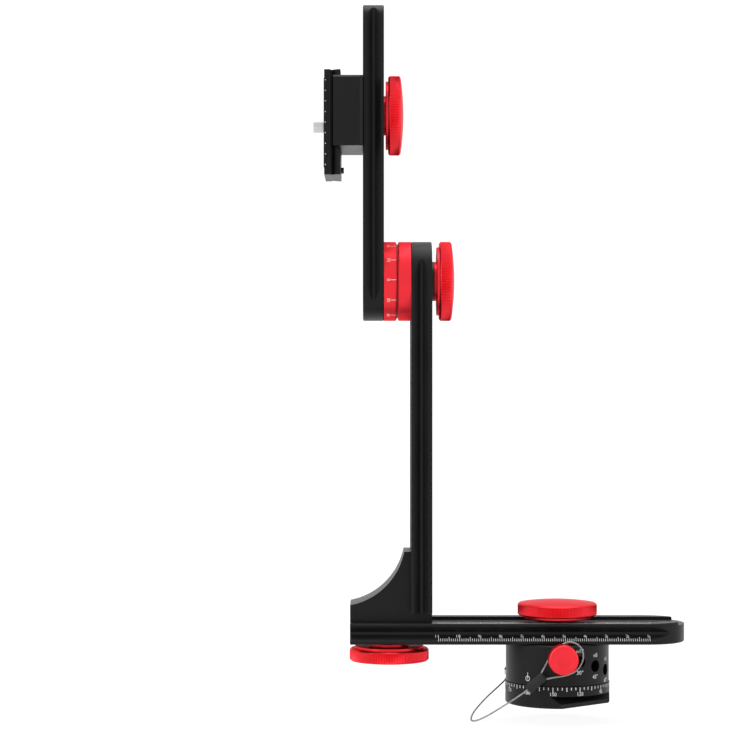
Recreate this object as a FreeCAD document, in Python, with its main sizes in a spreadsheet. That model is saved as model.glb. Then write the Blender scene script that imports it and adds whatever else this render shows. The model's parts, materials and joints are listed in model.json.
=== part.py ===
import FreeCAD, Part
import math
import os
import re

import Sketcher

# Panoramic tripod head for multi-row panoramas, in millimetres.
# The origin is the mouth of the tripod thread on the turning axis, +Z is up, the rail runs along X
# and the index plunger faces -Y. Every expression names cells of the spreadsheet "dims".

Vector = FreeCAD.Vector
Placement = FreeCAD.Placement
Rotation = FreeCAD.Rotation

DIMENSIONS = {
    "Double-dovetail rail section": {
        "rail_width": 38.0,
        "rail_thickness": 10.0,
        "rail_edge": 0.4,
        "groove_depth": 2.8,
        "plain_land": 1.6,
        "recess_land": 1.4,
        "recess_width": 24.0,
        "recess_depth": 1.5,
        "slot_width": 6.6,
    },
    "Rail lengths and slots": {
        "lower_length": 160.4,
        "lower_left_reach": 99.5,
        "lower_slot_start": 6.5,
        "lower_slot_end": 150.0,
        "arm_length": 177.0,
        "arm_slot_start": 42.0,
        "arm_slot_end": 128.0,
        "upper_length": 150.0,
        "upper_slot_start": 45.0,
        "upper_slot_end": 142.0,
        "upper_corner": 8.0,
    },
    "Lock knob": {
        "knob_radius": 19.0,
        "knob_disc": 5.9,
        "knob_edge": 0.7,
        "knob_dome": 1.4,
        "step_radius": 16.4,
        "step_height": 1.2,
        "boss_radius": 9.4,
        "boss_height": 1.3,
        "washer_radius": 9.5,
        "washer_thickness": 1.1,
        "knob_hole_depth": 7.0,
        "stud_radius": 3.0,
        "stud_in_knob": 6.0,
        "stud_edge": 0.5,
    },
    "Foot": {
        "foot_radius": 25.0,
        "foot_height": 10.3,
        "foot_edge": 0.5,
        "foot_dovetail": 38.0,
        "foot_flange": 2.0,
        "foot_undercut": 3.7,
        "foot_angle": -50.0,
        "tripod_thread_radius": 4.7625,
        "tripod_thread_length": 8.5,
        "bush_radius": 9.0,
        "clearance_bore": 5.2,
    },
    "Rotator": {
        "seam_gap": 0.3,
        "foot_overhang": 0.3,
        "housing_height": 18.9,
        "housing_wall": 4.3,
        "housing_edge": 0.5,
        "drum_gap": 0.4,
        "drum_wall": 4.0,
        "drum_height": 16.5,
        "spindle_fit": 0.1,
        "retainer_space": 3.7,
        "retainer_gap": 0.5,
        "retainer_lip": 3.85,
        "retainer_thickness": 2.5,
        "retainer_bore": 4.0,
        "thrust_washer": 0.4,
        "thrust_gap": 0.85,
        "stud_hole_depth": 13.7,
        "key_width": 6.4,
        "key_length": 6.0,
        "key_spacing": 18.0,
        "key_proud": 4.0,
        "key_sunk": 2.0,
    },
    "Index rows and plunger": {
        "plunger_angle": -90.0,
        "top_row_height": 24.4,
        "row_drop": 2.5,
        "row_angle": 21.0,
        "stops_first": 24,
        "stops_second": 12,
        "stops_third": 8,
        "stops_fourth": 6,
        "pit_depth": 1.2,
        "pin_radius": 1.1,
        "pin_seat": 0.35,
        "pin_collar_radius": 1.9,
        "pin_collar_at": 2.5,
        "pin_collar_length": 1.0,
        "pin_length": 15.2,
        "sleeve_thread_radius": 2.8,
        "sleeve_collar_radius": 3.9,
        "sleeve_chamber_radius": 2.0,
        "sleeve_collar_length": 4.1,
        "sleeve_end_wall": 1.2,
        "sleeve_inset": 0.4,
        "plunger_fit": 0.1,
        "plunger_knob_radius": 7.0,
        "plunger_knob_length": 7.8,
        "plunger_knob_gap": 0.4,
        "plunger_knob_rim": 1.2,
        "plunger_knob_dish": 0.6,
        "spring_wire": 0.25,
        "spring_seat_gap": 0.1,
        "spring_turns": 4,
    },
    "Corner bracket": {
        "bracket_width": 26.0,
        "bracket_top": 29.0,
        "bracket_web": 3.3,
        "bracket_left_height": 8.1,
        "bracket_ledge": 4.5,
        "bracket_length": 39.0,
        "bracket_arc": 32.3,
        "bracket_bolt_from_left": 18.7,
        "bracket_stud_depth": 9.0,
        "tongue_fit": 0.1,
        "arm_screw_low": 8.5,
        "arm_screw_high": 19.0,
        "arm_screw_radius": 2.5,
        "arm_screw_head": 4.2,
        "arm_screw_head_height": 4.4,
        "arm_screw_reach": 5.0,
        "screw_fit": 0.1,
    },
    "Elevation pivot": {
        "pivot_from_arm_top": 19.0,
        "ring_radius": 19.0,
        "ring_edge": 0.5,
        "scale_ring_thickness": 6.0,
        "fixed_ring_thickness": 6.1,
        "friction_washer": 0.8,
        "friction_radius": 17.8,
        "tongue_half_length": 15.5,
        "bolt_radius": 4.0,
        "bolt_fit": 0.1,
        "bolt_head_radius": 6.8,
        "bolt_head_height": 4.0,
        "ring_screw_offset": 12.0,
        "ring_screw_radius": 1.5,
        "ring_screw_head": 2.8,
        "ring_screw_head_height": 2.6,
        "ring_screw_length": 9.0,
    },
    "Camera clamp": {
        "clamp_from_pivot": 79.65,
        "clamp_length": 33.2,
        "clamp_half_width": 24.0,
        "clamp_height": 14.0,
        "clamp_floor": 10.5,
        "clamp_edge": 1.4,
        "clamp_rim": 0.9,
        "jaw_seam": 13.3,
        "jaw_gap": 0.6,
        "jaw_lift": 0.3,
        "jaw_screw_height": 5.2,
        "jaw_screw_radius": 2.45,
        "jaw_screw_start": 6.5,
        "guide_offset": 10.5,
        "guide_radius": 1.5,
        "guide_start": 1.5,
        "guide_end": 21.5,
        "guide_spring_radius": 2.4,
        "guide_spring_depth": 4.0,
        "jaw_spring_wire": 0.3,
        "jaw_spring_radius": 2.0,
        "jaw_spring_turns": 3,
        "jaw_knob_radius": 11.0,
        "jaw_knob_length": 13.0,
        "jaw_knob_neck": 3.0,
        "jaw_knob_neck_radius": 6.5,
        "jaw_knob_edge": 1.0,
        "clamp_bolt_head": 5.0,
        "clamp_bolt_head_height": 5.4,
    },
    "Quick-release plate": {
        "plate_length": 49.7,
        "plate_above_clamp": 3.25,
        "plate_half_width": 19.0,
        "plate_thickness": 7.7,
        "plate_top": 3.0,
        "plate_flange": 1.5,
        "plate_bevel": 2.5,
        "plate_fit": 0.1,
        "plate_slot_width": 6.8,
        "plate_slot_length": 20.0,
        "plate_recess_width": 15.0,
        "plate_recess_depth": 4.0,
        "camera_thread_radius": 3.175,
        "camera_thread_start": 0.8,
        "camera_thread_length": 4.7,
        "camera_waist_radius": 2.4,
        "camera_head_radius": 6.6,
        "camera_head_height": 2.6,
        "coin_slot_width": 1.6,
        "coin_slot_depth": 1.2,
        "pad_width": 8.0,
        "pad_length": 42.0,
        "pad_inset": 0.5,
        "pad_proud": 0.3,
        "pad_centre": 12.2,
        "stop_screw_radius": 1.45,
        "stop_screw_height": 1.4,
        "stop_screw_shank": 1.0,
        "stop_screw_depth": 4.0,
        "stop_screw_from_top": 1.6,
        "stop_screw_from_foot": 3.5,
    },
    "Lanyard": {
        "wire_radius": 0.4,
        "crimp_radius": 2.3,
        "crimp_grip": 0.5,
        "anchor_radius": 1.0,
        "anchor_head_radius": 2.2,
        "anchor_head_height": 1.4,
        "anchor_depth": 3.0,
        "anchor_angle": 150.0,
        "anchor_height": 13.0,
        "anchor_stand_off": 1.3,
    },
    "Small screws": {
        "drum_screw_wall": 1.0,
        "drum_screw_radius": 1.25,
        "drum_screw_head": 2.25,
        "drum_screw_head_height": 2.4,
        "drum_screw_length": 12.0,
        "retainer_screw_count": 3,
        "retainer_screw_radius": 1.25,
        "retainer_screw_head": 2.25,
        "retainer_screw_head_height": 1.5,
        "retainer_screw_length": 6.0,
    },
}
SIZES = {alias for group in DIMENSIONS.values() for alias in group}

# Shares of a screw's head that its socket takes, and of a cord's run that a bend takes.
SOCKET_REACH_SHARE = 0.58
SOCKET_FLOOR_SHARE = 0.45
BEND_SHARE = 0.45
FULL_TURN = 360
TOLERANCE = 1e-6

UP = Rotation()
DOWN = Rotation(Vector(1, 0, 0), 180)
RIGHT = Rotation(Vector(0, 1, 0), 90)
LEFT = Rotation(Vector(0, 1, 0), -90)
FRONT = Rotation(Vector(1, 0, 0), 90)
BACK = Rotation(Vector(1, 0, 0), -90)
STANDING_RECESS_LEFT = Rotation(Vector(0, 1, 0), -90)
STANDING_RECESS_RIGHT = Rotation(Vector(1, 0, 1), 180)

doc = FreeCAD.newDocument("panoramic_head")
nodes = {}


# ---------------------------------------------------------------- spreadsheet and expressions


def make_sheet():
    """Writes each group of sizes under its title, one size a row, with its alias."""
    sheet = doc.addObject("Spreadsheet::Sheet", "dims")
    row = 1
    for title, sizes in DIMENSIONS.items():
        sheet.set(f"A{row}", title)
        row += 1
        for alias, size in sizes.items():
            sheet.set(f"A{row}", alias.replace("_", " "))
            sheet.set(f"B{row}", str(size))
            sheet.setAlias(f"B{row}", alias)
            row += 1
    doc.recompute()
    return sheet


dims = make_sheet()


def bound(text):
    """Puts the sheet's name in front of every size that an expression names."""
    return re.sub(r"[a-z_]+", lambda m: f"dims.{m.group()}" if m.group() in SIZES else m.group(), text)


def value(text):
    """The present value of an expression, in millimetres, degrees or copies."""
    return float(dims.evalExpression(bound(text)))


def point(x, y, z):
    return Vector(value(x), value(y), value(z))


# ---------------------------------------------------------------- places shared by several pieces

HOUSING_BOTTOM = "(foot_height + seam_gap)"
HOUSING_TOP = f"({HOUSING_BOTTOM} + housing_height)"
RAIL_TOP = f"({HOUSING_TOP} + rail_thickness)"
RAIL_FLOOR = f"({RAIL_TOP} - recess_depth)"
ARM_BOTTOM = f"({RAIL_TOP} + bracket_ledge)"
PIVOT_HEIGHT = f"({ARM_BOTTOM} + arm_length - pivot_from_arm_top)"
ARM_RIGHT = "(bracket_length - lower_left_reach)"
ARM_LEFT = f"({ARM_RIGHT} - rail_thickness)"
FRICTION_FACE = f"({ARM_LEFT} - fixed_ring_thickness)"
SCALE_FACE = f"({FRICTION_FACE} - friction_washer)"
UPPER_RIGHT = f"({SCALE_FACE} - scale_ring_thickness)"
UPPER_LEFT = f"({UPPER_RIGHT} - rail_thickness)"
UPPER_BOTTOM = f"({PIVOT_HEIGHT} - rail_width / 2)"
CLAMP_CENTRE = f"({PIVOT_HEIGHT} + clamp_from_pivot)"
BRACKET_BOLT = "(bracket_bolt_from_left - lower_left_reach)"
HOUSING_RADIUS = "(foot_radius - foot_overhang)"
DRUM_RADIUS = f"({HOUSING_RADIUS} - housing_wall - drum_gap)"
RETAINER_SPACE = f"({DRUM_RADIUS} - drum_wall)"
RETAINER_RADIUS = f"({RETAINER_SPACE} - retainer_gap)"
SPINDLE_RADIUS = f"({RETAINER_SPACE} - retainer_lip)"
THRUST_INNER = f"({SPINDLE_RADIUS} + thrust_gap)"
RETAINER_CIRCLE = f"(({SPINDLE_RADIUS} + retainer_bore) / 2)"
DRUM_SCREW_CIRCLE = f"(({RETAINER_SPACE} + {DRUM_RADIUS}) / 2)"
DRUM_SCREW_ACROSS = "(foot_dovetail / 2 - foot_undercut - drum_screw_head - screw_fit - drum_screw_wall)"
DRUM_TOP = "(foot_height + drum_height)"
SPINDLE_END = "(foot_height + retainer_space - thrust_washer)"
PLATE_TOP = f"({CLAMP_CENTRE} + clamp_length / 2 + plate_above_clamp)"
PLATE_BASE = "(clamp_floor + plate_fit)"
KNOB_HEIGHT = "(boss_height + step_height + knob_disc + knob_dome)"
SLEEVE_END = f"({HOUSING_RADIUS} + sleeve_collar_length)"
PIN_TIP = f"({DRUM_RADIUS} - pit_depth + pin_seat)"
TONGUE_WIDTH = "(recess_width - 2 * tongue_fit)"
TONGUE_DEPTH = "(recess_depth - tongue_fit)"


# ---------------------------------------------------------------- sketches and features


def new_body(name):
    body = doc.addObject("PartDesign::Body", name)
    body.Label = name
    return body


def new_sketch(body, name, role, offset="0"):
    """A sketch on one of the body's own origin planes, moved along the plane's normal."""
    sketch = body.newObject("Sketcher::SketchObject", name)
    plane = next(f for f in body.Origin.OriginFeatures if f.Role == role)
    sketch.AttachmentSupport = [(plane, "")]
    sketch.MapMode = "FlatFace"
    sketch.setExpression("AttachmentOffset.Base.z", bound(offset))
    return sketch


def pin(sketch, curve, end, x, y):
    """Ties one point of a curve to an expression for each coordinate."""
    for kind, text in (("DistanceX", x), ("DistanceY", y)):
        number = sketch.addConstraint(Sketcher.Constraint(kind, -1, 1, curve, end, value(text)))
        sketch.setExpression(f"Constraints[{number}]", bound(text))


def arc_between(start, end, radius, turn):
    """The arc from start to end that turns left (+1) or right (-1), as a counter-clockwise curve."""
    half = (end - start) * 0.5
    height = math.sqrt(max(radius * radius - half.Length**2, 0.0))
    normal = Vector(-half.y, half.x, 0).normalize() * turn
    centre = start + half + normal * height
    first, last = (start, end) if turn > 0 else (end, start)
    angles = [math.atan2(p.y - centre.y, p.x - centre.x) for p in (first, last)]
    return Part.ArcOfCircle(Part.Circle(centre, Vector(0, 0, 1), radius), *angles)


def outline(sketch, corners):
    """A closed outline. A corner is (x, y), or (x, y, radius, turn) where an arc leads to the next."""
    spots = [point(corner[0], corner[1], "0") for corner in corners]
    curves = []
    for n, corner in enumerate(corners):
        start, end = spots[n], spots[(n + 1) % len(corners)]
        if len(corner) == 2:
            curves.append((sketch.addGeometry(Part.LineSegment(start, end)), 1, 2))
        else:
            arc = arc_between(start, end, value(corner[2]), corner[3])
            ends = (1, 2) if corner[3] > 0 else (2, 1)
            curves.append((sketch.addGeometry(arc), *ends))
    for n, (curve, start, end) in enumerate(curves):
        following, its_start, _ = curves[(n + 1) % len(curves)]
        sketch.addConstraint(Sketcher.Constraint("Coincident", curve, end, following, its_start))
        pin(sketch, curve, start, corners[n][0], corners[n][1])
        if len(corners[n]) > 2:
            number = sketch.addConstraint(Sketcher.Constraint("Radius", curve, value(corners[n][2])))
            sketch.setExpression(f"Constraints[{number}]", bound(corners[n][2]))


def circle(sketch, x, y, radius):
    curve = sketch.addGeometry(Part.Circle(point(x, y, "0"), Vector(0, 0, 1), value(radius)))
    pin(sketch, curve, 3, x, y)
    number = sketch.addConstraint(Sketcher.Constraint("Radius", curve, value(radius)))
    sketch.setExpression(f"Constraints[{number}]", bound(radius))


def box_corners(low_x, high_x, low_y, high_y):
    return [(low_x, low_y), (high_x, low_y), (high_x, high_y), (low_x, high_y)]


def feature(body, kind, sketch, length=None, **settings):
    """Adds a Pad, Pocket, Revolution or Groove of a sketch to the body."""
    made = body.newObject(f"PartDesign::{kind}", f"{sketch.Name}_{kind.lower()}")
    made.Profile = sketch
    for name, setting in settings.items():
        setattr(made, name, setting)
    if length:
        made.setExpression("Length", bound(length))
    return made


def bores(body, name, circles, depth, offset="0", upward=True):
    """Round holes along the body's Z axis, from a level up or down."""
    sketch = new_sketch(body, name, "XY_Plane", offset)
    for x, y, radius in circles:
        circle(sketch, x, y, radius)
    return feature(body, "Pocket", sketch, depth, Reversed=upward)


def place(piece, x="0", y="0", z="0", rotation=UP):
    """Turns the piece, then binds its place to the sheet."""
    piece.Placement = Placement(Vector(), rotation)
    for axis, text in zip("xyz", (x, y, z)):
        piece.setExpression(f"Placement.Base.{axis}", bound(text))
    return piece


def keep(name, piece):
    """Counts a finished piece as a node of the part."""
    piece.Label = name
    nodes[name] = piece
    return piece


def turned_body(name, profile, axis="V_Axis"):
    """A body of revolution about its own Z axis, from (radius, height) corners."""
    body = new_body(name)
    sketch = new_sketch(body, f"{name}_profile", "XZ_Plane")
    outline(sketch, profile)
    feature(body, "Revolution", sketch, ReferenceAxis=(sketch, [axis]), Angle=FULL_TURN)
    return body


def turned(name, profile, x="0", y="0", z="0", rotation=UP):
    return keep(name, place(turned_body(name, profile), x, y, z, rotation))


def ring_profile(inner, outer, height):
    return box_corners(inner, outer, "0", height)


def cylinder_tool(name, radius, length, x, y, z, rotation):
    tool = doc.addObject("Part::Cylinder", name)
    tool.setExpression("Radius", bound(radius))
    tool.setExpression("Height", bound(length))
    return place(tool, x, y, z, rotation)


def cut(name, base, tools):
    """The base less every tool, as the node of that name."""
    joined = tools[0]
    if len(tools) > 1:
        joined = doc.addObject("Part::MultiFuse", f"{name}_tools")
        joined.Shapes = tools
    made = doc.addObject("Part::Cut", name)
    made.Base = base
    made.Tool = joined
    return keep(name, made)


def shaped(name, shape, placement=Placement()):
    """A node whose shape comes straight from Part's functions."""
    made = doc.addObject("Part::Feature", name)
    own = shape.Placement
    made.Shape = shape
    made.Placement = placement * own
    return keep(name, made)


# ---------------------------------------------------------------- fasteners, springs and knobs


def screw_shape(radius, length, head_radius, head_height):
    """A socket-head screw: head above the XY plane, shank below, hexagon socket in the head."""
    shank_radius, long = value(radius), value(length)
    head_wide, head_high = value(head_radius), value(head_height)
    shank = Part.makeCylinder(shank_radius, long, Vector(0, 0, -long))
    head = Part.makeCylinder(head_wide, head_high)
    socket_reach = head_wide * SOCKET_REACH_SHARE
    corners = [
        Vector(socket_reach * math.cos(n * math.pi / 3), socket_reach * math.sin(n * math.pi / 3), 0)
        for n in range(7)
    ]
    face = Part.Face(Part.makePolygon(corners))
    socket = face.extrude(Vector(0, 0, head_high))
    socket.translate(Vector(0, 0, head_high * SOCKET_FLOOR_SHARE))
    return shank.fuse(head).removeSplitter().cut(socket)


def screw_group(name, screw, placements):
    """Like screws at several places, as separate solids of one node."""
    copies = []
    for placement in placements:
        copy = screw.copy()
        copy.Placement = placement
        copies.append(copy)
    return shaped(name, Part.makeCompound(copies))


def around(count, radius):
    """Evenly spaced spots in plan on a circle about the turning axis."""
    angles = [FULL_TURN * n / count for n in range(count)]
    return [(f"{radius} * cos({angle})", f"{radius} * sin({angle})") for angle in angles]


def screwed_upward(spots, height):
    """Places at spots in plan for screws whose heads face down."""
    return [Placement(point(x, y, height), DOWN) for x, y in spots]


def coil_spring(length, radius, wire, turns):
    """A helical compression spring along +Z between two flat seats."""
    long, reach, thick = value(length), value(radius), value(wire)
    climb = long - 2 * (thick + value("spring_seat_gap"))
    path = Part.Wire(Part.makeHelix(climb / value(turns), climb, reach))
    start = Part.Wire(Part.makeCircle(thick, Vector(reach, 0, 0), Vector(0, 1, 0)))
    coil = path.makePipeShell([start], True, True)
    coil.translate(Vector(0, 0, (long - climb) / 2))
    return coil


def lock_knob(name, hole_radius, x, y, z, rotation):
    """A flat domed hand knob. Its boss sits on the washer, and its blind thread takes a stud."""
    step = "(boss_height + step_height)"
    disc = f"({step} + knob_disc)"
    rim = "(knob_radius - knob_edge)"
    dome = f"(({rim})^2 + knob_dome^2) / (2 * knob_dome)"
    profile = [
        (hole_radius, "0"),
        ("boss_radius", "0"),
        ("boss_radius", "boss_height"),
        ("step_radius", "boss_height"),
        ("step_radius", step),
        (rim, step),
        ("knob_radius", f"{step} + knob_edge"),
        ("knob_radius", f"{disc} - knob_edge"),
        (rim, disc, dome, 1),
        ("0", KNOB_HEIGHT),
        ("0", "knob_hole_depth"),
        (hole_radius, "knob_hole_depth"),
    ]
    return turned(name, profile, x, y, z, rotation)


# ---------------------------------------------------------------- foot and rotator


def drum_screw_spots(angle):
    """The four spots in plan, between the dovetail's flanks, that hold the drum, turned by an angle."""
    along = f"sqrt({DRUM_SCREW_CIRCLE}^2 - {DRUM_SCREW_ACROSS}^2)"
    spots = []
    for left, near in (("", ""), ("-", ""), ("-", "-"), ("", "-")):
        x, y = f"({left}{DRUM_SCREW_ACROSS})", f"({near}{along})"
        spots.append((f"{x} * cos({angle}) - {y} * sin({angle})", f"{x} * sin({angle}) + {y} * cos({angle})"))
    return spots


def make_foot():
    """The fixed foot: a turned disc whose underside is milled to a dovetail."""
    body = turned_body(
        "base_foot",
        [
            ("bush_radius", "0"),
            ("foot_radius - foot_edge", "0"),
            ("foot_radius", "foot_edge"),
            ("foot_radius", "foot_height"),
            ("bush_radius", "foot_height"),
        ],
    )
    neck = "(foot_flange + foot_undercut)"
    outside = "(foot_radius + foot_edge)"
    undercut = new_sketch(body, "foot_undercut", "XZ_Plane")
    for side in ("", "-"):
        outline(
            undercut,
            [
                (f"{side}(foot_dovetail / 2)", "-foot_edge"),
                (f"{side}(foot_dovetail / 2)", "foot_flange"),
                (f"{side}(foot_dovetail / 2 - foot_undercut)", neck),
                (f"{side}{outside}", neck),
                (f"{side}{outside}", "-foot_edge"),
            ],
        )
    feature(body, "Pocket", undercut, "4 * foot_radius", Midplane=True)
    for name, radius, depth in (
        ("foot_screw_hole", "drum_screw_radius + screw_fit", "foot_height"),
        ("foot_screw_seat", "drum_screw_head + screw_fit", "drum_screw_head_height + screw_fit"),
    ):
        bores(body, name, [(x, y, radius) for x, y in drum_screw_spots("0")], depth)
    place(body, rotation=Rotation(Vector(0, 0, 1), value("foot_angle")))
    keep("base_foot", body)
    turned(
        "thread_bush",
        [
            ("tripod_thread_radius", "0"),
            ("bush_radius", "0"),
            ("bush_radius", "foot_height"),
            ("clearance_bore", "foot_height"),
            ("clearance_bore", "tripod_thread_length"),
            ("tripod_thread_radius", "tripod_thread_length"),
        ],
    )


def make_drum():
    """The index drum: four rows of conical pits, one row for each number of stops in a turn."""
    bore = f"({SPINDLE_RADIUS} + spindle_fit)"
    body = turned_body(
        "detent_drum",
        [
            (RETAINER_SPACE, "0"),
            (DRUM_RADIUS, "0"),
            (DRUM_RADIUS, "drum_height"),
            (bore, "drum_height"),
            (bore, "retainer_space"),
            (RETAINER_SPACE, "retainer_space"),
        ],
    )
    threads = [(x, y, "drum_screw_radius") for x, y in drum_screw_spots("foot_angle - plunger_angle")]
    depth = "drum_screw_length - foot_height + drum_screw_head_height"
    bores(body, "drum_screw_threads", threads, depth)
    turn_axis = next(f for f in body.Origin.OriginFeatures if f.Role == "Z_Axis")
    for n, stops in enumerate(("stops_first", "stops_second", "stops_third", "stops_fourth")):
        height = f"top_row_height - {n} * row_drop - foot_height"
        pit = new_sketch(body, f"pit_row_{n + 1}", "XY_Plane", height)
        outline(
            pit,
            [
                (f"{DRUM_RADIUS} - pit_depth", "0"),
                (f"{DRUM_RADIUS} + pin_seat", "0"),
                (f"{DRUM_RADIUS} + pin_seat", "pit_depth + pin_seat"),
            ],
        )
        cone = feature(body, "Groove", pit, ReferenceAxis=(pit, ["H_Axis"]), Angle=FULL_TURN)
        ring = body.newObject("PartDesign::PolarPattern", f"pit_ring_{n + 1}")
        ring.Originals = [cone]
        ring.Axis = (turn_axis, [""])
        ring.Angle = FULL_TURN
        ring.setExpression("Occurrences", bound(stops))
        body.Tip = ring
        doc.recompute()
    place(body, z="foot_height", rotation=Rotation(Vector(0, 0, 1), value("plunger_angle")))
    keep("detent_drum", body)
    screw = screw_shape("drum_screw_radius", "drum_screw_length", "drum_screw_head", "drum_screw_head_height")
    spots = drum_screw_spots("foot_angle")
    screw_group("drum_screws", screw, screwed_upward(spots, "drum_screw_head_height"))


def plunger_direction(row):
    """The level direction, from the turning axis, of the index hole of one row."""
    angle = math.radians(value("plunger_angle") + row * value("row_angle"))
    return Vector(math.cos(angle), math.sin(angle), 0)


def make_housing():
    """The turning housing: a cup with a spindle inside the drum and four index holes in its wall."""
    inner = f"({HOUSING_RADIUS} - housing_wall)"
    roof = f"({DRUM_TOP} + thrust_washer - {HOUSING_BOTTOM})"
    spindle_end = f"({SPINDLE_END} - {HOUSING_BOTTOM})"
    hole_end = "(housing_height - stud_hole_depth)"
    body = turned_body(
        "housing_blank",
        [
            (inner, "0"),
            (HOUSING_RADIUS, "0"),
            (HOUSING_RADIUS, "housing_height - housing_edge"),
            (f"{HOUSING_RADIUS} - housing_edge", "housing_height"),
            ("stud_radius", "housing_height"),
            ("stud_radius", hole_end),
            ("0", hole_end),
            ("0", spindle_end),
            (SPINDLE_RADIUS, spindle_end),
            (SPINDLE_RADIUS, roof),
            (inner, roof),
        ],
    )
    keys = new_sketch(body, "key_seats", "XY_Plane", "housing_height")
    for side in ("", "-"):
        outline(keys, key_outline(side))
    feature(body, "Pocket", keys, "key_sunk")
    threads = [(x, y, "retainer_screw_radius") for x, y in retainer_screw_spots()]
    length = "retainer_screw_length - retainer_thickness + retainer_screw_head_height"
    bores(body, "retainer_threads", threads, length, spindle_end)
    place(body, z=HOUSING_BOTTOM)
    tools = []
    for row in range(4):
        outward = plunger_direction(row)
        tool = cylinder_tool(
            f"index_hole_{row + 1}",
            "sleeve_thread_radius",
            "housing_wall + 2 * drum_gap",
            f"({DRUM_RADIUS}) * {outward.x:.9f}",
            f"({DRUM_RADIUS}) * {outward.y:.9f}",
            f"top_row_height - {row} * row_drop",
            Rotation(Vector(0, 0, 1), outward),
        )
        tools.append(tool)
    anchor = anchor_direction()
    tools.append(
        cylinder_tool(
            "anchor_thread",
            "anchor_radius",
            "anchor_depth + housing_edge",
            f"({HOUSING_RADIUS} - anchor_depth) * {anchor.x:.9f}",
            f"({HOUSING_RADIUS} - anchor_depth) * {anchor.y:.9f}",
            "anchor_height",
            Rotation(Vector(0, 0, 1), anchor),
        )
    )
    cut("rotator_housing", body, tools)


def key_outline(side):
    """One of the two keys that keep the rail square, left or right of the stud."""
    near = f"{side}(key_spacing / 2 - key_length / 2)"
    far = f"{side}(key_spacing / 2 + key_length / 2)"
    return box_corners(near, far, "-key_width / 2", "key_width / 2")


def make_rail_keys():
    blocks = []
    for side in (-1, 1):
        long, wide = value("key_length"), value("key_width")
        block = Part.makeBox(long, wide, value("key_sunk + key_proud"))
        block.translate(Vector(side * value("key_spacing") / 2 - long / 2, -wide / 2, 0))
        blocks.append(block)
    height = value(f"{HOUSING_TOP} - key_sunk")
    shaped("rail_keys", Part.makeCompound(blocks), Placement(Vector(0, 0, height), UP))


def stud_profile(radius, length):
    return [
        ("0", "0"),
        (f"{radius} - stud_edge", "0"),
        (radius, "stud_edge"),
        (radius, f"{length} - stud_edge"),
        (f"{radius} - stud_edge", length),
        ("0", length),
    ]


def make_rotator():
    make_foot()
    make_drum()
    make_housing()
    turned(
        "upper_thrust_washer",
        ring_profile(THRUST_INNER, f"{DRUM_RADIUS} - drum_gap", "thrust_washer"),
        z=DRUM_TOP,
    )
    turned(
        "lower_thrust_washer",
        ring_profile(THRUST_INNER, RETAINER_RADIUS, "thrust_washer"),
        z=SPINDLE_END,
    )
    make_retainer()
    make_rail_keys()
    stud_bottom = f"({HOUSING_TOP} - stud_hole_depth)"
    stud_top = f"({RAIL_FLOOR} + washer_thickness + stud_in_knob)"
    turned("rail_stud", stud_profile("stud_radius", f"({stud_top} - {stud_bottom})"), z=stud_bottom)


def retainer_screw_spots():
    return around(int(value("retainer_screw_count")), RETAINER_CIRCLE)


def make_retainer():
    """The ring that holds the housing down, screwed to the end of its spindle."""
    profile = ring_profile("retainer_bore", RETAINER_RADIUS, "retainer_thickness")
    body = turned_body("retaining_ring", profile)
    for name, radius, depth in (
        ("retainer_hole", "retainer_screw_radius + screw_fit", "retainer_thickness"),
        ("retainer_seat", "retainer_screw_head + screw_fit", "retainer_screw_head_height + screw_fit"),
    ):
        bores(body, name, [(x, y, radius) for x, y in retainer_screw_spots()], depth)
    place(body, z=f"{SPINDLE_END} - retainer_thickness")
    keep("retaining_ring", body)
    screw = screw_shape(
        "retainer_screw_radius",
        "retainer_screw_length",
        "retainer_screw_head",
        "retainer_screw_head_height",
    )
    height = f"{SPINDLE_END} - retainer_thickness + retainer_screw_head_height"
    screw_group("retainer_screws", screw, screwed_upward(retainer_screw_spots(), height))


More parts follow.
